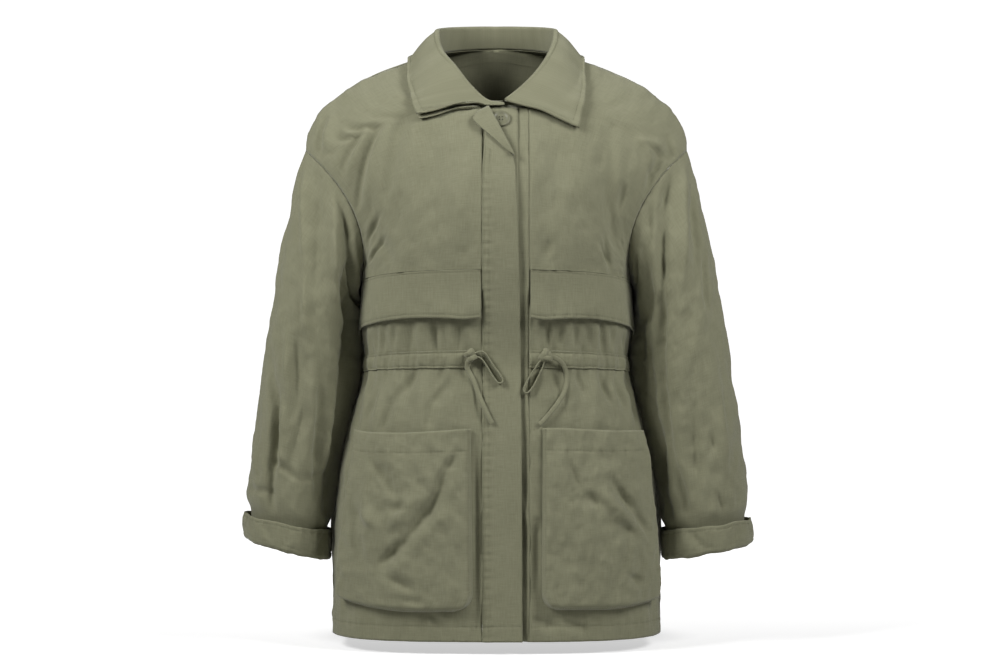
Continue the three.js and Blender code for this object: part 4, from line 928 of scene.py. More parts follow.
def round_rumple(turn, at, seed, size, height):
    c, s = cos_sin(turn)
    x, y = c * SLEEVE_RADIUS / size + seed, s * SLEEVE_RADIUS / size
    return unevenness(np.stack([x, y, at / (size * 1.7)], -1), height)


def sleeve_cloth(hand, turn, at, lift=0.0):
    near = ease(0, 30, at) * (1 - ease(418, 440, at))
    rough = round_rumple(turn, at, SEED[hand], size=30, height=3.2)
    rough = rough + round_rumple(turn, at, SEED[hand] + 20, size=10, height=1)
    height = near * (sleeve_folds(SLEEVE_FOLDS[hand], turn, at) + rough)
    height += seam_line(turn * 1.1, at - 1, depth=0.5, pull=0.45, reach=9)
    return raised(lambda u, v: bare_sleeve(hand, u, v), turn, at, height + lift, 2.0, 3.0)


sleeve_pieces = []
for hand in HANDS:
    flip = hand == "right"
    sleeve = lay_cloth(
        f"sleeve_cloth_{hand}", np.linspace(180, 540, 141), spaced(SEAM, SLEEVE_END, 3.2),
        lambda u, v: sleeve_cloth(hand, u % 360, v), CLOTH, mirror=flip, join=True,
        spread=MM_PER_DEGREE,
    )
    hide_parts(f"sleeve_{hand}_front", f"sleeve_{hand}_back")
    sleeve_pieces.append(sleeve)

# Cuffs: each sleeve's end, two layers of twill, is turned up over the sleeve. It is held by a row of
# stitches near its upper edge and by two short rows near the top of the arm.
CUFF = table(
    "at outer_x outer_z inner_x inner_z y front back scoop",
    (0, 329.5, -598, 213.5, -613, -16, 57, 56, 0), (14, 331.5, -608, 212.5, -626, -16, 58, 57, 0),
    (28, 331.5, -621, 213, -641, -16, 58, 57, 0), (36, 330, -629, 214, -649, -16, 56.5, 56, 0),
    (40, 325.5, -632, 216.5, -652, -16, 53, 53, 0),
    (46, 319.8, -627.7, 220.7, -646.4, -16, 48.8, 48.8, 0),
)
CUFF_STITCH = 6
CUFF_END = 46


def bare_cuff(hand, turn, at):
    return hung(ring_point(CUFF, turn, np.clip(at, 0, CUFF_END)), hand, turn, 1)


CUFF_FOLD_LINE = 31
CUFF_FOLDS = {
    "right": table(
        SLEEVE_FOLD,
        (154, 4, 132, 34, 0, 5, -2.4), (60, 6, 76, 30, 0, 6, -1.8), (104, 20, 88, 38, 0, 5, 1.6),
    ),
    "left": table(
        SLEEVE_FOLD,
        (118, 4, 96, 30, 0, 5, -2.4), (48, 10, 66, 36, 0, 6, -2), (150, 14, 138, 38, 0, 5, 1.6),
    ),
}


def cuff_cloth(hand, turn, at, lift=0.0):
    height = round_rumple(turn, at, SEED[hand] + 4, size=22, height=2)
    height = height + sleeve_folds(CUFF_FOLDS[hand], turn, at)
    height = height * (1 - ease(36, 44, at))
    height += seam_line(turn, at - CUFF_STITCH, depth=0.4, pull=0.4, reach=6)
    height += seam_line(turn, at - CUFF_FOLD_LINE, depth=0.5, pull=0.2, reach=4)
    drop = round_rumple(turn, at * 0.5, SEED[hand] + 9, size=34, height=1.8)
    place = raised(lambda u, v: bare_cuff(hand, u, v), turn, at, height + lift, 2.0, 1.0)
    return place + points(0, 0, drop)


for hand in HANDS:
    flip = hand == "right"
    cuff = lay_cloth(
        f"cuff_cloth_{hand}", np.linspace(180, 540, 151), spaced(0, CUFF_END, 1.9, (CUFF_STITCH,)),
        lambda u, v: cuff_cloth(hand, u % 360, v), DOUBLE, mirror=flip, join=True, spread=1.0,
    )
    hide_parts(f"cuff_{hand}")
    stitches = stitch_lines(
        f"cuff_stitches_{hand}",
        [
            (lambda u, v: cuff_cloth(hand, u, v, ON_CLOTH), np.linspace(*ends, 150), row, flip)
            for ends, row in (((180, 540), CUFF_STITCH), ((6, 30), 16), ((6, 30), 20))
        ],
    )

# Storm flaps: a strip of twill on each side, sewn into the seam across the chest. It hangs over the
# lower front, straighter than the cloth under it, and is free at its stitched lower edge.
FLAP_HANG = 0.62
FLAP_INSET = {"edge": 1.5, "side": 3}
FLAP_LIFT = {"seam": 0.1, "edge": 2.4, "side": 4.5}
FLAP_WIDTH = 162
FLAP_STITCHES = (FLAP_BOTTOM + 5, FLAP_SEAM - 3)
FLAP_FALL = table(
    "at fall", (0, 1), (0.08, 3), (0.2, 1), (0.4, -1.2), (0.7, 0), (0.82, 0.5), (0.92, 4), (1, 8),
)
FLAP_FOLDS = {
    "right": table(
        FOLD, (48, -284, 40, -342, 0, 6, -2.6), (80, -286, 80, -342, 0, 9, -1.8),
        (150, -286, 176, -322, 0, 7, -2.8), (118, -288, 112, -342, 0, 9, 2),
    ),
    "left": table(
        FOLD, (68, -286, 68, -342, 0, 7, -2.6), (160, -290, 182, -342, 0, 7, -3),
        (110, -290, 114, -342, 0, 11, 1.8),
    ),
}


def bare_flap(hand, share, at):
    total = level_span("front", at)[0]
    across = mix(FRONT_EDGE[hand] + FLAP_INSET["edge"], total - FLAP_INSET["side"], share)
    return body_point("front", across, at)


def flap_cloth(hand, share, at, lift=0.0):
    top = bare_flap(hand, share, np.full_like(at, FLAP_SEAM))
    under = bare_flap(hand, share, at)
    drop = ease(FLAP_SEAM, FLAP_BOTTOM, at)
    straight = points(top[:, 0], top[:, 1], under[:, 2])
    place = mix(under, straight, (FLAP_HANG * drop)[:, None])
    place[:, 2] -= column(FLAP_FALL, "fall", share) * drop
    normal = normal_of(lambda u, v: bare_flap(hand, u, v), share, at, 0.01, 2.0)
    height = mix(FLAP_LIFT["seam"], mix(FLAP_LIFT["edge"], FLAP_LIFT["side"], share), drop)
    across = FRONT_EDGE[hand] + share * FLAP_WIDTH
    uneven = rumple(across, at, SEED[hand] + 7, size=26, height=1.4)
    uneven = uneven + fold_height(FLAP_FOLDS[hand], across, at)
    height = height + uneven * drop
    height += seam_line(across, at - FLAP_STITCHES[0], depth=0.35, pull=0.4, reach=8)
    height += seam_line(across, at - FLAP_STITCHES[1], depth=0.35, pull=0.3, reach=6)
    return place + normal * (height + lift)[:, None]


for hand in HANDS:
    flip = hand == "right"
    storm_flap = lay_cloth(
        f"storm_flap_cloth_{hand}", np.linspace(0, 1, 76),
        spaced(FLAP_BOTTOM, FLAP_SEAM - SEAM, 2.5, FLAP_STITCHES), lambda u, v: flap_cloth(hand, u, v),
        CLOTH, mirror=flip, spread=170,
    )
    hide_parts(f"storm_flap_{hand}")
    stitches = stitch_lines(
        f"storm_flap_stitches_{hand}",
        [
            (lambda u, v: flap_cloth(hand, u, v, ON_CLOTH), np.linspace(0.01, 0.99, 70), row, flip)
            for row in FLAP_STITCHES
        ],
    )

# Waist casing: a strip of twill over the gathered waist, stitched down along both edges so that the
# drawcord can run inside it. It goes right round, in two front parts and one back part.
CASING_GAP = 0.5
CASING_FULL = 1.1
CASING_GROOVE = 0.5
CASING_STITCH = 2.6


def casing_lift(at):
    from_edge = np.minimum(at - CASING_BOTTOM, CASING_TOP - at)
    groove = CASING_GROOVE * np.exp(-((from_edge - CASING_STITCH) ** 2))
    return CASING_GAP + CLOTH + CASING_FULL * ease(2, 8, from_edge) - groove


def casing_cloth(hand, share, at, lift=0.0):
    return lower_front(hand, share, at, casing_lift(at) + lift)


stitch_levels = (CASING_BOTTOM + CASING_STITCH, CASING_TOP - CASING_STITCH)
casing_levels = spaced(CASING_BOTTOM, CASING_TOP, 2.4, stitch_levels)
CASING_FIRST = {"right": 0.085, "left": 0.0}
for hand in HANDS:
    flip = hand == "right"
    casing = lay_cloth(
        f"casing_cloth_{hand}", np.linspace(CASING_FIRST[hand], 1, 80), casing_levels,
        lambda u, v: casing_cloth(hand, u, v), CLOTH, mirror=flip, spread=200,
    )
    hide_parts(f"waist_casing_{hand}")
    stitches = stitch_lines(
        f"casing_stitches_{hand}",
        [
            (
                lambda u, v: casing_cloth(hand, u, v, ON_CLOTH),
                np.linspace(CASING_FIRST[hand] + 0.01, 0.99, 90), row, flip,
            )
            for row in stitch_levels
        ],
    )

back_casing_mesh = bmesh.new()
for sign in (1, -1):
    add_grid(
        back_casing_mesh, np.linspace(0, 1, 86), casing_levels[::-1],
        lambda u, v: back_half(u, v, sign, casing_lift(v)), mirror=sign < 0, spread=200 * sign,
    )
back_casing = as_piece("casing_cloth_back", back_casing_mesh, TWILL, thickness=CLOTH, join=True)
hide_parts("waist_casing_back")

# Button band and buttonhole band: the two plain strips of twill under the fly. The button band is the
# lower one and rises to meet the wearer's left front at its edge.
BUTTON_BAND = {"left": -13, "depth": -3.1, "rise": 33, "top": FRONT_NECK - 2}
HOLE_BAND = {"left": PLACKET_LEFT + SEAM, "right": 28, "depth": -1.4, "top": FRONT_NECK - 5}


def centre_point(across, at):
    return sided(body_point("front", np.abs(across), np.clip(at, HEM, FRONT_NECK - 1)), across)


BAND_HOLLOW = {"depth": 3, "from": -440, "to": -520, "edge": 4}
BAND_WAVE = {"height": 0.6, "length": 19, "swing": 2, "over": 47, "from": -380, "to": -480}
BAND_FOLDS = table(
    FOLD,
    (34, -566, 42, -606, 0, 3, 2.6), (42, -606, 44, -632, 0, 3, 2.2), (30, -480, 36, -545, 0, 3.5, 2),
    (34, -680, 38, -735, 0, 3.5, 2.4),
)


def button_band(across, at):
    height = mix(BUTTON_BAND["depth"], 0, ease(BUTTON_BAND["rise"], BUTTON_BAND_EDGE, across))
    turns = at / BAND_WAVE["length"] + BAND_WAVE["swing"] * np.sin(at / BAND_WAVE["over"])
    height += BAND_WAVE["height"] * np.sin(turns) * ease(BAND_WAVE["from"], BAND_WAVE["to"], at)
    inside = 1 - ease(BUTTON_BAND["rise"] + BAND_HOLLOW["edge"], BUTTON_BAND_EDGE, across)
    height -= BAND_HOLLOW["depth"] * ease(BAND_HOLLOW["from"], BAND_HOLLOW["to"], at) * inside
    height += rumple(across, at, 2.2, size=18, height=0.6) + fold_height(BAND_FOLDS, across, at)
    return raised(centre_point, across, at, height)


def hole_band(across, at):
    height = HOLE_BAND["depth"] + rumple(across, at, 6.2, size=20, height=0.4)
    return raised(centre_point, across, at, height)


for name, band, surface, node in (
    ("button_band_cloth", BUTTON_BAND, button_band, "button_band"),
    ("buttonhole_band_cloth", HOLE_BAND, hole_band, "buttonhole_band"),
):
    right_edge = band.get("right", BUTTON_BAND_EDGE - SEAM)
    strip = lay_cloth(
        name, spaced(band["left"], right_edge, 3), spaced(HEM, band["top"], STEP), surface, CLOTH,
    )
    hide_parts(node)

# Placket: the outer layer of the fly, two layers of twill. Its free edge leans in towards the neck,
# and its top corner is turned back over a slanting fold.
PLACKET_EDGE = table("at across", (-745, 33), (-400, 31), (-230, 27.5), (-150, 24), (-66, 20))
PLACKET_LIFT = 0.9
TURN = {
    "high": (-11, -77), "low": (20.5, -138), "tip": (-38, -87), "end": (17.5, -136),
    "roll": 2, "rise": 2.3, "round": 9,
}
PLACKET_EDGE_ROUND = {"depth": 1.4, "width": 2.4}
TURN_START = -150
FAN_END = -92
ROLL_END = -84
TURN_END = -50
PLACKET_STITCHES = (2.2, 8.2)


def placket_place(share, v):
    """Where a point of the placket lies: across, level, and height over the bands."""

    def along(a, b, t):
        return mix(TURN[a][0], TURN[b][0], t), mix(TURN[a][1], TURN[b][1], t)

    def blend(a, b, t):
        return mix(a[0], b[0], t), mix(a[1], b[1], t)

    row = np.minimum(v, TURN_START)
    plain = (mix(PLACKET_LEFT, column(PLACKET_EDGE, "across", row), share), row)
    fold = along("high", "low", share)
    edge = along("tip", "end", share)
    fan_share = np.clip((v - TURN_START) / (FAN_END - TURN_START), 0, 1)
    fan = blend(plain, fold, fan_share)
    angle = np.pi * np.clip((v - FAN_END) / (ROLL_END - FAN_END), 0, 1)
    run = np.hypot(edge[0] - fold[0], edge[1] - fold[1])
    roll = blend(fold, edge, -TURN["roll"] * np.sin(angle) / run)
    over_share = np.clip((v - ROLL_END) / (TURN_END - ROLL_END), 0, 1)
    over = blend(fold, edge, over_share)
    rounding = TURN["round"] * (1 - share) ** 5 * over_share**3
    over = (over[0] + rounding, over[1] - 0.4 * rounding)
    rise, bend = TURN["rise"], TURN["roll"]
    across = np.where(v <= FAN_END, fan[0], np.where(v <= ROLL_END, roll[0], over[0]))
    at = np.where(v <= FAN_END, fan[1], np.where(v <= ROLL_END, roll[1], over[1]))
    lift = np.where(
        v <= FAN_END, rise * fan_share,
        np.where(v <= ROLL_END, rise + bend * (1 - np.cos(angle)), rise * (1 - over_share) + 2 * bend),
    )
    return across, at, lift


def placket_cloth(share, v, lift=0.0):
    across, at, height = placket_place(share, v)
    from_left = across - PLACKET_LEFT
    plain = 1 - ease(TURN_START - 20, TURN_START + 30, v)
    rounded = np.exp(-((from_left / PLACKET_EDGE_ROUND["width"]) ** 2))
    height = height - PLACKET_EDGE_ROUND["depth"] * plain * rounded
    for line in PLACKET_STITCHES:
        height = height + plain * seam_line(at, from_left - line, depth=0.35, pull=0.3, reach=5)
    height = height + rumple(across, at, 4.4, size=24, height=0.7) * plain
    height += seam_line(across, at - HEM_STITCH, depth=0.35, pull=0.3, reach=8)
    held = np.minimum(at, FRONT_NECK - 1)
    return raised(centre_point, across, held, PLACKET_LIFT + height + lift)


placket = lay_cloth(
    "placket_cloth", np.linspace(0, 1, 24),
    spaced(HEM, TURN_END, 2.6, (FAN_END + 2, FAN_END + 5, HEM_STITCH)), placket_cloth, DOUBLE,
    middle=True, spread=47,
)
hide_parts("placket")


def placket_line(at_left, at):
    width = column(PLACKET_EDGE, "across", np.minimum(at, TURN_START)) - PLACKET_LEFT
    return placket_cloth(at_left / width, at, DOUBLE / 2 + ON_CLOTH)


placket_stitches = stitch_lines(
    "placket_stitches",
    [(placket_line, line, np.linspace(HEM + 3, -128, 260), False) for line in PLACKET_STITCHES],
)

# Patch pockets: one piece of twill each, with rounded lower corners, sewn on along three sides. The
# bag stands off the front inside its stitched edge, and its mouth is hemmed.
POCKET = {"depth": 6.5, "belly": 4, "corner": 22, "side": 6, "bottom": 6}
POCKET_SIDES = {
    "right": {"inner": 31, "inner_low": 29, "outer": 194, "outer_low": 214},
    "left": {"inner": 58, "inner_low": 57, "outer": 211, "outer_low": 225},
}
POCKET_GAP = 1.2
POCKET_FULL = -626
MOUTH_STITCH = POCKET_TOP - 26
POCKET_STITCH = 3.2
MOUTH = {
    "right": table("at rise", (0, 3), (0.25, 0), (0.55, -3), (0.85, -3), (1, 0)),
    "left": table("at rise", (0, 4), (0.2, 3), (0.5, -0.5), (1, -2.5)),
}
POCKET_HEM = {
    "right": table("at rise", (0, -1), (0.5, -1.5), (0.75, 2), (0.93, 7.5), (1, 9.5)),
    "left": table("at rise", (0, 1), (0.3, 0.5), (0.55, 0), (0.8, 3), (1, 6.5)),
}
POCKET_FOLDS = {
    "right": table(
        FOLD, (50, -510, 62, -532, 0, 5.5, -5.5), (62, -530, 84, -596, 0, 6.5, -8),
        (76, -566, 110, -618, 0, 6.5, -8.5), (110, -618, 146, -652, 0, 6.5, -8),
        (156, -522, 120, -572, 3, 7.5, -5.5), (128, -582, 108, -578, 0, 5, -6),
        (132, -664, 98, -680, 0, 5.5, -5.5), (112, -692, 90, -694, 0, 5, -4),
        (168, -584, 148, -604, 0, 7.5, 5.5), (96, -560, 132, -606, 0, 7.5, 5.5),
        (184, -560, 170, -650, 0, 8.5, -5.5),
    ),
    "left": table(
        FOLD, (92, -522, 104, -556, 0, 5.5, -6), (144, -546, 178, -588, 0, 6.5, -8.5),
        (178, -588, 198, -612, 0, 5.5, -6.5), (152, -600, 176, -612, 0, 7.5, -6),
        (110, -560, 130, -576, 0, 7.5, -5.5), (164, -664, 184, -673, 0, 5, -5),
        (132, -560, 164, -598, 0, 7.5, 5.5), (82, -600, 92, -680, 0, 10.5, -5),
    ),
}


def pocket_across(hand, share, at):
    sides = POCKET_SIDES[hand]
    low = ease(POCKET_TOP, POCKET_BOTTOM, at)
    height = np.maximum(0, POCKET["corner"] - (at - POCKET_BOTTOM))
    inset = POCKET["corner"] - np.sqrt(np.maximum(0, POCKET["corner"] ** 2 - height**2))
    start = mix(sides["inner"], sides["inner_low"], low) + inset
    end = mix(sides["outer"], sides["outer_low"], low) - inset
    return mix(start, end, share), end - start


def bare_pocket(hand, share, at):
    at = np.clip(at, HEM, 0)
    return body_point("front", np.maximum(pocket_across(hand, share, at)[0], 0), at)


def pocket_cloth(hand, share, at, lift=0.0):
    near_top = ease(POCKET_TOP - 60, POCKET_TOP, at)
    sag = column(MOUTH[hand], "rise", share) * near_top
    sag += column(POCKET_HEM[hand], "rise", share) * ease(POCKET_BOTTOM + 80, POCKET_BOTTOM, at)
    across, wide = pocket_across(hand, share, at)
    from_side = np.minimum(share, 1 - share) * wide
    from_low = at - POCKET_BOTTOM
    bag = ease(0, POCKET["side"], from_side) * ease(0, POCKET["bottom"], from_low)
    under = fold_height(LOWER_FOLDS[hand], across, at) + gather_height(across, at)
    full = POCKET["depth"] + POCKET["belly"] * ease(POCKET_TOP, POCKET_FULL, at)
    height = POCKET_GAP + full * bag + np.maximum(0, under) * (1 - bag) + CLOTH
    uneven = rumple(across, at, SEED[hand] + 2, size=26, height=2.2)
    uneven = uneven + crumple(across, at, SEED[hand] + 2, height=1.7)
    height += bag * (fold_height(POCKET_FOLDS[hand], across, at) + uneven)
    height += seam_line(across, at - MOUTH_STITCH, depth=0.4, pull=0.5, reach=10)
    height += seam_line(at, from_side - POCKET_STITCH, depth=0.3, pull=0.25, reach=5)
    normal = normal_of(lambda u, v: bare_pocket(hand, u, v), share, at, 0.01, 3.0)
    place = bare_pocket(hand, share, at + sag)
    return place + normal * (height + lift)[:, None]


def pocket_shares():
    close = np.array([0.006, 0.012, 0.02, 0.03, 0.04])
    return np.concatenate([[0], close, np.linspace(0.055, 0.945, 56), 1 - close[::-1], [1]])


for hand in HANDS:
    flip = hand == "right"
    pocket = lay_cloth(
        f"pocket_cloth_{hand}", pocket_shares(),
        spaced(POCKET_BOTTOM, POCKET_TOP, 2.7, (POCKET_BOTTOM + POCKET_STITCH, MOUTH_STITCH)),
        lambda u, v: pocket_cloth(hand, u, v), CLOTH, mirror=flip, spread=175,
    )
    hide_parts(f"pocket_{hand}")
    lines = [(np.linspace(0.02, 0.98, 70), np.full(70, MOUTH_STITCH))]
    lines += [(np.linspace(0.08, 0.92, 70), np.full(70, POCKET_BOTTOM + POCKET_STITCH))]
    for share in (0.02, 0.98):
        lines += [(np.full(90, share), np.linspace(POCKET_BOTTOM + 20, POCKET_TOP - 1, 90))]
    stitches = stitch_lines(
        f"pocket_stitches_{hand}",
        [(lambda u, v: pocket_cloth(hand, u, v, ON_CLOTH), u, v, flip) for u, v in lines],
    )

# Collar: two layers of twill, a low stand sewn to the neck and a fall that turns over a soft roll,
# topstitched along its edge. Way is the angle from the nape, less than nought on the wearer's right.
COLLAR_COLUMNS = "at stand lean edge_x edge_y edge_z crown"
COLLAR_BACK = (
    (65, 30, -2, 114, -24, -32, 4), (90, 31, -3, 113, 9, -5, 3), (120, 29, -4, 98, 66, -6, 7),
    (150, 27, -4, 56, 97, -17, 6), (180, 26, -4, 0, 107, -21, 4),
)
COLLAR = {
    "right": table(
        COLLAR_COLUMNS,
        (-7, -6, 4, 100, -80, -83, 2), (8, -2, 3, 104, -73, -76, 3), (22, 11, 1, 107, -62, -66, 4),
        (42, 28, -1, 111, -45, -50, 5), *COLLAR_BACK,
    ),
    "left": table(
        COLLAR_COLUMNS,
        (8, -1, 4, 105, -83, -101, 3), (22, 10, 1, 109, -68, -80, 4), (42, 22, -1, 113, -48, -58, 5),
        *COLLAR_BACK,
    ),
}
COLLAR_ROLL = 3
COLLAR_FOOT = 0.4
COLLAR_CLEARANCE = 5.9
STAND_SHARE = 0.3
ROLL_SHARE = 0.42
COLLAR_FRONT = {"right": -187, "left": 172}
COLLAR_ARCH = {"right": 7, "left": 2.5, "along": 9, "share": 0.72, "wide": 0.13}
COLLAR_WIDTH = 115
COLLAR_STITCH = 6


def collar_columns(way, name):
    degrees = 180 - np.abs(way)
    right = column(COLLAR["right"], name, degrees)
    left = column(COLLAR["left"], name, degrees)
    return np.where(way < 0, right, left)


def collar_shape(way, share):
    degrees = 180 - np.abs(way)
    c, s = cos_sin(degrees)
    base = neck_point(degrees) + np.array([0, 0, COLLAR_FOOT])
    out = unit(points(s / NECK["half"], -c / NECK["front"], 0))
    up = np.array([0, 0, 1.0])
    roll = base + up * collar_columns(way, "stand")[:, None] + out * collar_columns(way, "lean")[:, None]
    edge = points(*(collar_columns(way, name) for name in ("edge_x", "edge_y", "edge_z")))
    t = np.clip(share / STAND_SHARE, 0, 1)[:, None]
    stand = mix(base, roll - out * COLLAR_ROLL, t) - out * 1.2 * np.sin(np.pi * t)
    angle = (np.pi * np.clip((share - STAND_SHARE) / (ROLL_SHARE - STAND_SHARE), 0, 1))[:, None]
    turned = roll - out * COLLAR_ROLL * np.cos(angle) + up * COLLAR_ROLL * np.sin(angle)
    t = np.clip((share - ROLL_SHARE) / (1 - ROLL_SHARE), 0, 1)[:, None]
    start = roll + out * COLLAR_ROLL
    crown = collar_columns(way, "crown")[:, None]
    bend = mix(start, edge, 0.45) + (out + up) * crown
    fall = start * (1 - t) ** 2 + bend * 2 * t * (1 - t) + edge * t * t
    on_stand, on_roll = share[:, None] < STAND_SHARE, share[:, None] <= ROLL_SHARE
    return sided(np.where(on_stand, stand, np.where(on_roll, turned, fall)), way)


def body_tree():
    """The cloth of the fronts and the back as a tree that rays can be sent at."""
    spots, faces = [], []
    for piece in front_pieces + [back_piece]:
        first = len(spots)
        spots += [v.co / MM for v in piece.data.vertices]
        faces += [[first + k for k in p.vertices] for p in piece.data.polygons]
    return BVHTree.FromPolygons(spots, faces)


BODY = body_tree()


RAY_START = 60


def clear_of_body(place, clearance):
    """Points moved out until they clear the cloth under them, seen from straight outside."""
    made = place.copy()
    for k, (spot, need) in enumerate(zip(place, clearance)):
        if need <= 0:
            continue
        spot = Vector(spot)
        near, normal = BODY.find_nearest(spot)[:2]
        if normal.dot(near - Vector((0, 8, near.z - 10))) < 0:
            normal = -normal
        hit = BODY.ray_cast(spot + normal * RAY_START, -normal)
        if hit[0] and hit[3] - RAY_START < need:
            made[k] = spot + normal * (need + RAY_START - hit[3])
    return made


def collar_cloth(way, share, lift=0.0):
    clearance = np.where(share > ROLL_SHARE, mix(0.5, COLLAR_CLEARANCE, ease(ROLL_SHARE, 0.6, share)), 0)
    place = clear_of_body(collar_shape(way, share), clearance)
    normal = normal_of(lambda u, v: collar_shape(u, np.clip(v, 0, 1)), way, share, 0.6, 0.01)
    fall = ease(ROLL_SHARE, 0.6, share)
    height = fall * (rumple(way * 1.6, share * COLLAR_WIDTH, 7.7, size=26, height=0.9) + 0.4)
    from_edge = (1 - share) * COLLAR_WIDTH
    height += fall * seam_line(way * 1.5, from_edge - COLLAR_STITCH, depth=0.6, pull=0.35, reach=6)
    front = np.where(way < 0, COLLAR_FRONT["right"], COLLAR_FRONT["left"])
    near_front = np.exp(-(((way - front) / COLLAR_ARCH["along"]) ** 2))
    near_middle = np.exp(-(((share - COLLAR_ARCH["share"]) / COLLAR_ARCH["wide"]) ** 2))
    arch = np.where(way < 0, COLLAR_ARCH["right"], COLLAR_ARCH["left"]) * near_front * near_middle
    return place + normal * (height + lift)[:, None] + points(0, 0, arch)


collar_ways = spaced(COLLAR_FRONT["right"], COLLAR_FRONT["left"], 2.2)
collar_shares = np.concatenate(
    [
        np.linspace(0, STAND_SHARE, 12), np.linspace(0.315, 0.42, 8),
        spaced(0.435 * COLLAR_WIDTH, COLLAR_WIDTH, 2, (COLLAR_WIDTH - COLLAR_STITCH,)) / COLLAR_WIDTH,
    ]
)
collar = lay_cloth("collar_cloth", collar_ways, collar_shares, collar_cloth, DOUBLE, middle=True, spread=1.5)
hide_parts("collar")
UNDER_LIP = {"drop": 4.2, "lift": -2.6}


def under_collar(way, share):
    return collar_cloth(way, share, UNDER_LIP["lift"]) - points(0, 0, UNDER_LIP["drop"] + 0 * way)


lip = lay_cloth(
    "under_collar_lip", spaced(COLLAR_FRONT["right"], COLLAR_FRONT["right"] + 11, 1.4),
    spaced(0.6, 0.985, 0.014), under_collar, CLOTH, spread=1.5,
)


def collar_face(way, share):
    return collar_cloth(way, share, DOUBLE / 2 + ON_CLOTH)


collar_stitches = stitch_lines(
    "collar_stitches",
    [
        (collar_face, np.linspace(*ways, 150), np.linspace(*shares, 150), False)
        for ways, shares in (
            ((-184, 169), (1 - COLLAR_STITCH / COLLAR_WIDTH,) * 2), ((-184, -184), (0.5, 0.94)),
            ((169, 169), (0.5, 0.94)), ((-177, -177), (0.74, 0.985)), ((-174, -174), (0.87, 0.96)),
        )
    ],
)

# Button at the neck: plastic, moulded in the colour of the cloth, with a raised rim, a dished face
# and four holes. It is sewn on to the buttonhole band.
BUTTON = {"across": 6, "at": -88.5, "gap": 0.35, "hole": 1.0, "spread": 1.9, "deep": 1.2}
BUTTON_PROFILE = table(
    "at radius height",
    (0, 0, 1.4), (7, 7, 1.4), (8.5, 8.4, 2.1), (10, 10, 2.45), (11.2, 11.6, 2.2), (12, 12.2, 1.3),
    (13.4, 10.9, 0.1), (24, 0.3, 0),
)
button_spot = (np.array([float(BUTTON["across"])]), np.array([float(BUTTON["at"])]))
BUTTON_WAY = normal_of(centre_point, *button_spot)[0]
BUTTON_SEAT = centre_point(*button_spot)[0] + BUTTON_WAY * (HOLE_BAND["depth"] + BUTTON["gap"])
BUTTON_RIGHT = unit(np.cross(np.cross(BUTTON_WAY, [1.0, 0, 0]), BUTTON_WAY))
BUTTON_UP = np.cross(BUTTON_RIGHT, BUTTON_WAY)


def button_hole(x, z):
    """Nearly 1 in the four holes and 0 elsewhere."""
    away = np.hypot(np.abs(x) - BUTTON["spread"], np.abs(z) - BUTTON["spread"])
    return np.exp(-((away / BUTTON["hole"]) ** 4))


def button_face(degrees, at):
    radius = column(BUTTON_PROFILE, "radius", at)
    x, z = (radius * way for way in cos_sin(degrees))
    height = column(BUTTON_PROFILE, "height", at) - np.where(at < 7, BUTTON["deep"] * button_hole(x, z), 0)
    return BUTTON_SEAT + x[:, None] * BUTTON_RIGHT + z[:, None] * BUTTON_UP + height[:, None] * BUTTON_WAY


BUTTON_DARK = (0.12, 0.12, 0.074, 1)
BUTTON_PALE = (0.17, 0.17, 0.108, 1)
# Painted shade: a near-black colour that stands in for the shade inside the four holes.
BUTTON_HOLE_SHADE = (0.012, 0.012, 0.008, 1)


def button_material():
    """Moulded plastic with faint clouds of colour, and painted shade: the four holes are coloured near
    black.
    """
    material, shader, nodes, links = new_material("olive_button", Roughness=0.5)
    clouds = speckled(nodes, links, 160, BUTTON_DARK, BUTTON_PALE)
    # The hole attribute marks where the painted shade of the holes is mixed in.
    hole = nodes.new("ShaderNodeAttribute")
    hole.attribute_name = "hole"
    dark = nodes.new("ShaderNodeMix")
    dark.data_type = "RGBA"
    dark.inputs["B"].default_value = BUTTON_HOLE_SHADE
    links.new(hole.outputs["Fac"], dark.inputs["Factor"])
    links.new(clouds, dark.inputs["A"])
    links.new(dark.outputs["Result"], shader.inputs["Base Color"])
    return material


button_mesh = bmesh.new()
face_places = np.concatenate([np.linspace(0.05, 4, 30), np.linspace(4.3, 13.4, 32), np.linspace(15, 24, 4)])
add_grid(button_mesh, np.linspace(0, 360, 97), face_places, button_face)
# A mask on each point: where the painted shade of the holes goes.
hole_shade_layer = button_mesh.verts.layers.float.new("hole")
for vert in button_mesh.verts:
    off = np.array(vert.co) / MM - BUTTON_SEAT
    if off @ BUTTON_WAY > 0.2 and np.linalg.norm(off) < 6:
        vert[hole_shade_layer] = float(button_hole(off @ BUTTON_RIGHT, off @ BUTTON_UP))
button_piece = as_piece("button_body", button_mesh, button_material(), join=True)
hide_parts("button")

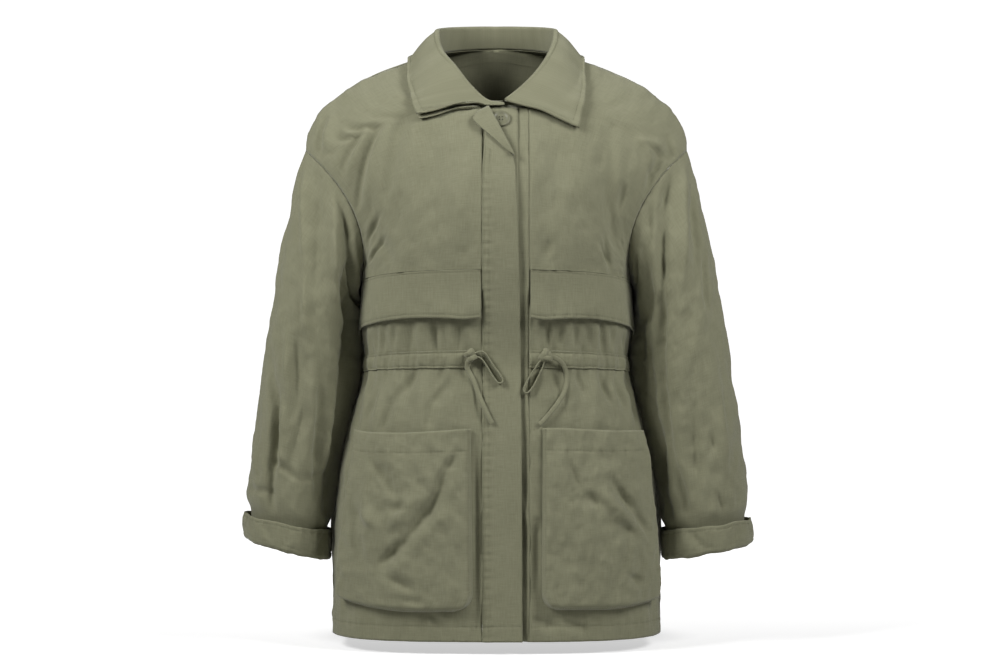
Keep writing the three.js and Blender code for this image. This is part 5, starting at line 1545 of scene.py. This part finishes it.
# Drawcords: a flat woven cord comes out of each end of the casing and is tied in a knot with one
# loop and one tail. The routes start at the knot: places across, level and height off the cloth.
CORD = {"wide": 6, "thick": 2.2, "sides": 10, "points": 70, "round": -0.25}
KNOTS = {
    "right": {"across": -31, "at": -388, "lift": 6.3, "wide": 13, "high": 20, "deep": 10, "lean": 8},
    "left": {"across": 61, "at": -388, "lift": 8.8, "wide": 17, "high": 16, "deep": 10, "lean": -30},
}
ROUTE = "across at lift"
CORDS = {
    "right_tail": table(
        ROUTE, (-31, -388, 6.3), (-36, -402, 5), (-33, -410, 3.6), (-27.5, -421, 3.6), (-22, -436, 3.2),
        (-17, -448, 4.4), (-12, -459, 4.8), (-8, -467, 4.8), (-5, -473, 4.6),
    ),
    "right_loop": table(
        ROUTE, (-31, -388, 6.3), (-20, -383, 6.2), (-14, -385, 5.6), (-8, -393, 5.2), (-2, -403, 5),
        (4, -411, 5), (8, -418, 5), (7.5, -423, 5), (2.5, -423, 5), (-3.5, -415, 5),
        (-9.5, -405, 5.2), (-15, -396, 5.6), (-20, -391, 6.2), (-31, -388, 6.3),
    ),
    "left_tail": table(
        ROUTE, (61, -388, 8.8), (72, -391, 8), (78, -394, 7), (83.5, -400, 5.4), (87.5, -409, 3.4),
        (88.5, -421, 3.2), (85, -435, 3.2), (77, -448, 3.2), (67, -461, 3.2), (59, -470, 3.2),
        (54, -475, 3.2),
    ),
    "left_loop": table(
        ROUTE, (61, -388, 8.8), (52, -398, 8), (47, -407, 6.4), (42, -415, 4.6), (37, -424, 4),
        (34.5, -431, 4), (37, -436, 4), (42, -433, 4), (47.5, -425, 4.2), (53, -414, 5),
        (57.5, -403, 7.4), (61, -388, 8.8),
    ),
}


def on_front(across, at, lift):
    across, at, lift = (np.atleast_1d(np.asarray(a, float)) for a in (across, at, lift))
    return raised(centre_point, across, at, lift)


def smooth_line(knots, count):
    """A soft curve through the knots, with points at even distances."""
    knots = np.asarray(knots, float)
    ends = np.vstack([2 * knots[0] - knots[1], knots, 2 * knots[-1] - knots[-2]])
    fine = []
    for k in range(1, len(ends) - 2):
        t = np.linspace(0, 1, 12, endpoint=k == len(ends) - 3)[:, None]
        a, b, c, d = ends[k - 1 : k + 3]
        square, cube = 2 * a - 5 * b + 4 * c - d, 3 * b - a - 3 * c + d
        fine.append(0.5 * (2 * b + (c - a) * t + square * t**2 + cube * t**3))
    fine = np.vstack(fine)
    length = run_length(fine)
    even = np.linspace(0, length[-1], count)
    return np.stack([np.interp(even, length, fine[:, a]) for a in range(3)], -1)


def sweep_band(mesh, line, wide, thick, over_at):
    """A flat cord: a rounded section carried along a line. over_at gives the way its width faces."""
    grid = bmesh.ops.create_grid(mesh, x_segments=CORD["sides"], y_segments=len(line) - 1, size=0.5)
    tangents = unit(np.gradient(line, axis=0))
    layer = mesh.loops.layers.uv.get("cloth") or mesh.loops.layers.uv.new("cloth")
    length = run_length(line)
    for vert in grid["verts"]:
        angle = (vert.co.x + 0.5) * 2 * math.pi
        k = int(round((vert.co.y + 0.5) * (len(line) - 1)))
        over = over_at(k, tangents[k])
        up = unit(np.cross(tangents[k], over))
        over = unit(np.cross(up, tangents[k]))
        c, s = math.cos(angle), math.sin(angle)
        aside = c * abs(c) ** CORD["round"] if abs(c) > 1e-6 else 0
        vert.co = Vector((line[k] + over * wide / 2 * aside + up * thick / 2 * s) * MM)
        for loop in vert.link_loops:
            loop[layer].uv = (angle * wide / 6 * MM, length[k] * MM)


cord_pieces = {}
for name, route in CORDS.items():
    hand = name.split("_")[0]
    looped = name.endswith("loop")
    line = on_front(*(np.array([row[key] for row in route]) for key in ROUTE.split()))
    line = smooth_line(line, CORD["points"])
    mesh = bmesh.new()
    face = np.array([0, -1.0, 0])
    sweep_band(
        mesh, line, CORD["wide"], CORD["thick"], lambda k, way: face if looped else np.cross(way, face),
    )
    cord = as_piece(f"cord_{name}", mesh, TWILL, join=True)
    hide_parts(f"drawcord_{name}")
    cord_pieces[name] = (cord, line)

# Knots: the same flat cord tied over itself at each end of the casing. Each is a rounded core with
# two turns of cord laid round it, and holds the tail and the loop.
KNOT_CORE = 0.9
KNOT_CORD = {"wide": 6.4, "thick": 3.2}
KNOT_WRAPS = {"right": ((-40, 3.6), (-34, -3.8)), "left": ((40, -2.6), (-38, 2.4))}


def wrap_line(knot, centre, tilt, off):
    """One turn of the cord round a knot, tilted, and off its middle by a distance."""
    a = np.linspace(0, 2 * math.pi, 41)
    share = 0.92 * math.sqrt(1 - (2 * off / knot["high"]) ** 2) / 2
    ring = points(knot["wide"] * share * np.cos(a), -knot["deep"] * share * np.sin(a), off + 0 * a)
    turn = np.array(Matrix.Rotation(math.radians(knot["lean"] + tilt), 3, "Y"))
    return centre + ring @ turn.T, turn @ np.array([0, 0, 1.0])


for hand, knot in KNOTS.items():
    centre = on_front(knot["across"], knot["at"], knot["lift"])[0]
    mesh = bmesh.new()
    lean = math.radians(knot["lean"])
    turn = Matrix.Rotation(lean, 4, "Y")
    bmesh.ops.create_uvsphere(
        mesh, u_segments=32, v_segments=20, radius=0.5 * MM,
        matrix=Matrix.Translation(Vector(centre) * MM)
        @ turn
        @ Matrix.Diagonal((knot["wide"] * KNOT_CORE, knot["deep"] * KNOT_CORE, knot["high"] * KNOT_CORE, 1)),
        calc_uvs=True,
    )
    for tilt, off in KNOT_WRAPS[hand]:
        line, axis = wrap_line(knot, centre, tilt, off)
        sweep_band(mesh, line, KNOT_CORD["wide"], KNOT_CORD["thick"], lambda k, way: axis)
    piece = as_piece(f"knot_cord_{hand}", mesh, TWILL)
    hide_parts(f"knot_{hand}")
    for kind in ("tail", "loop"):
        cord, line = cord_pieces[f"{hand}_{kind}"]
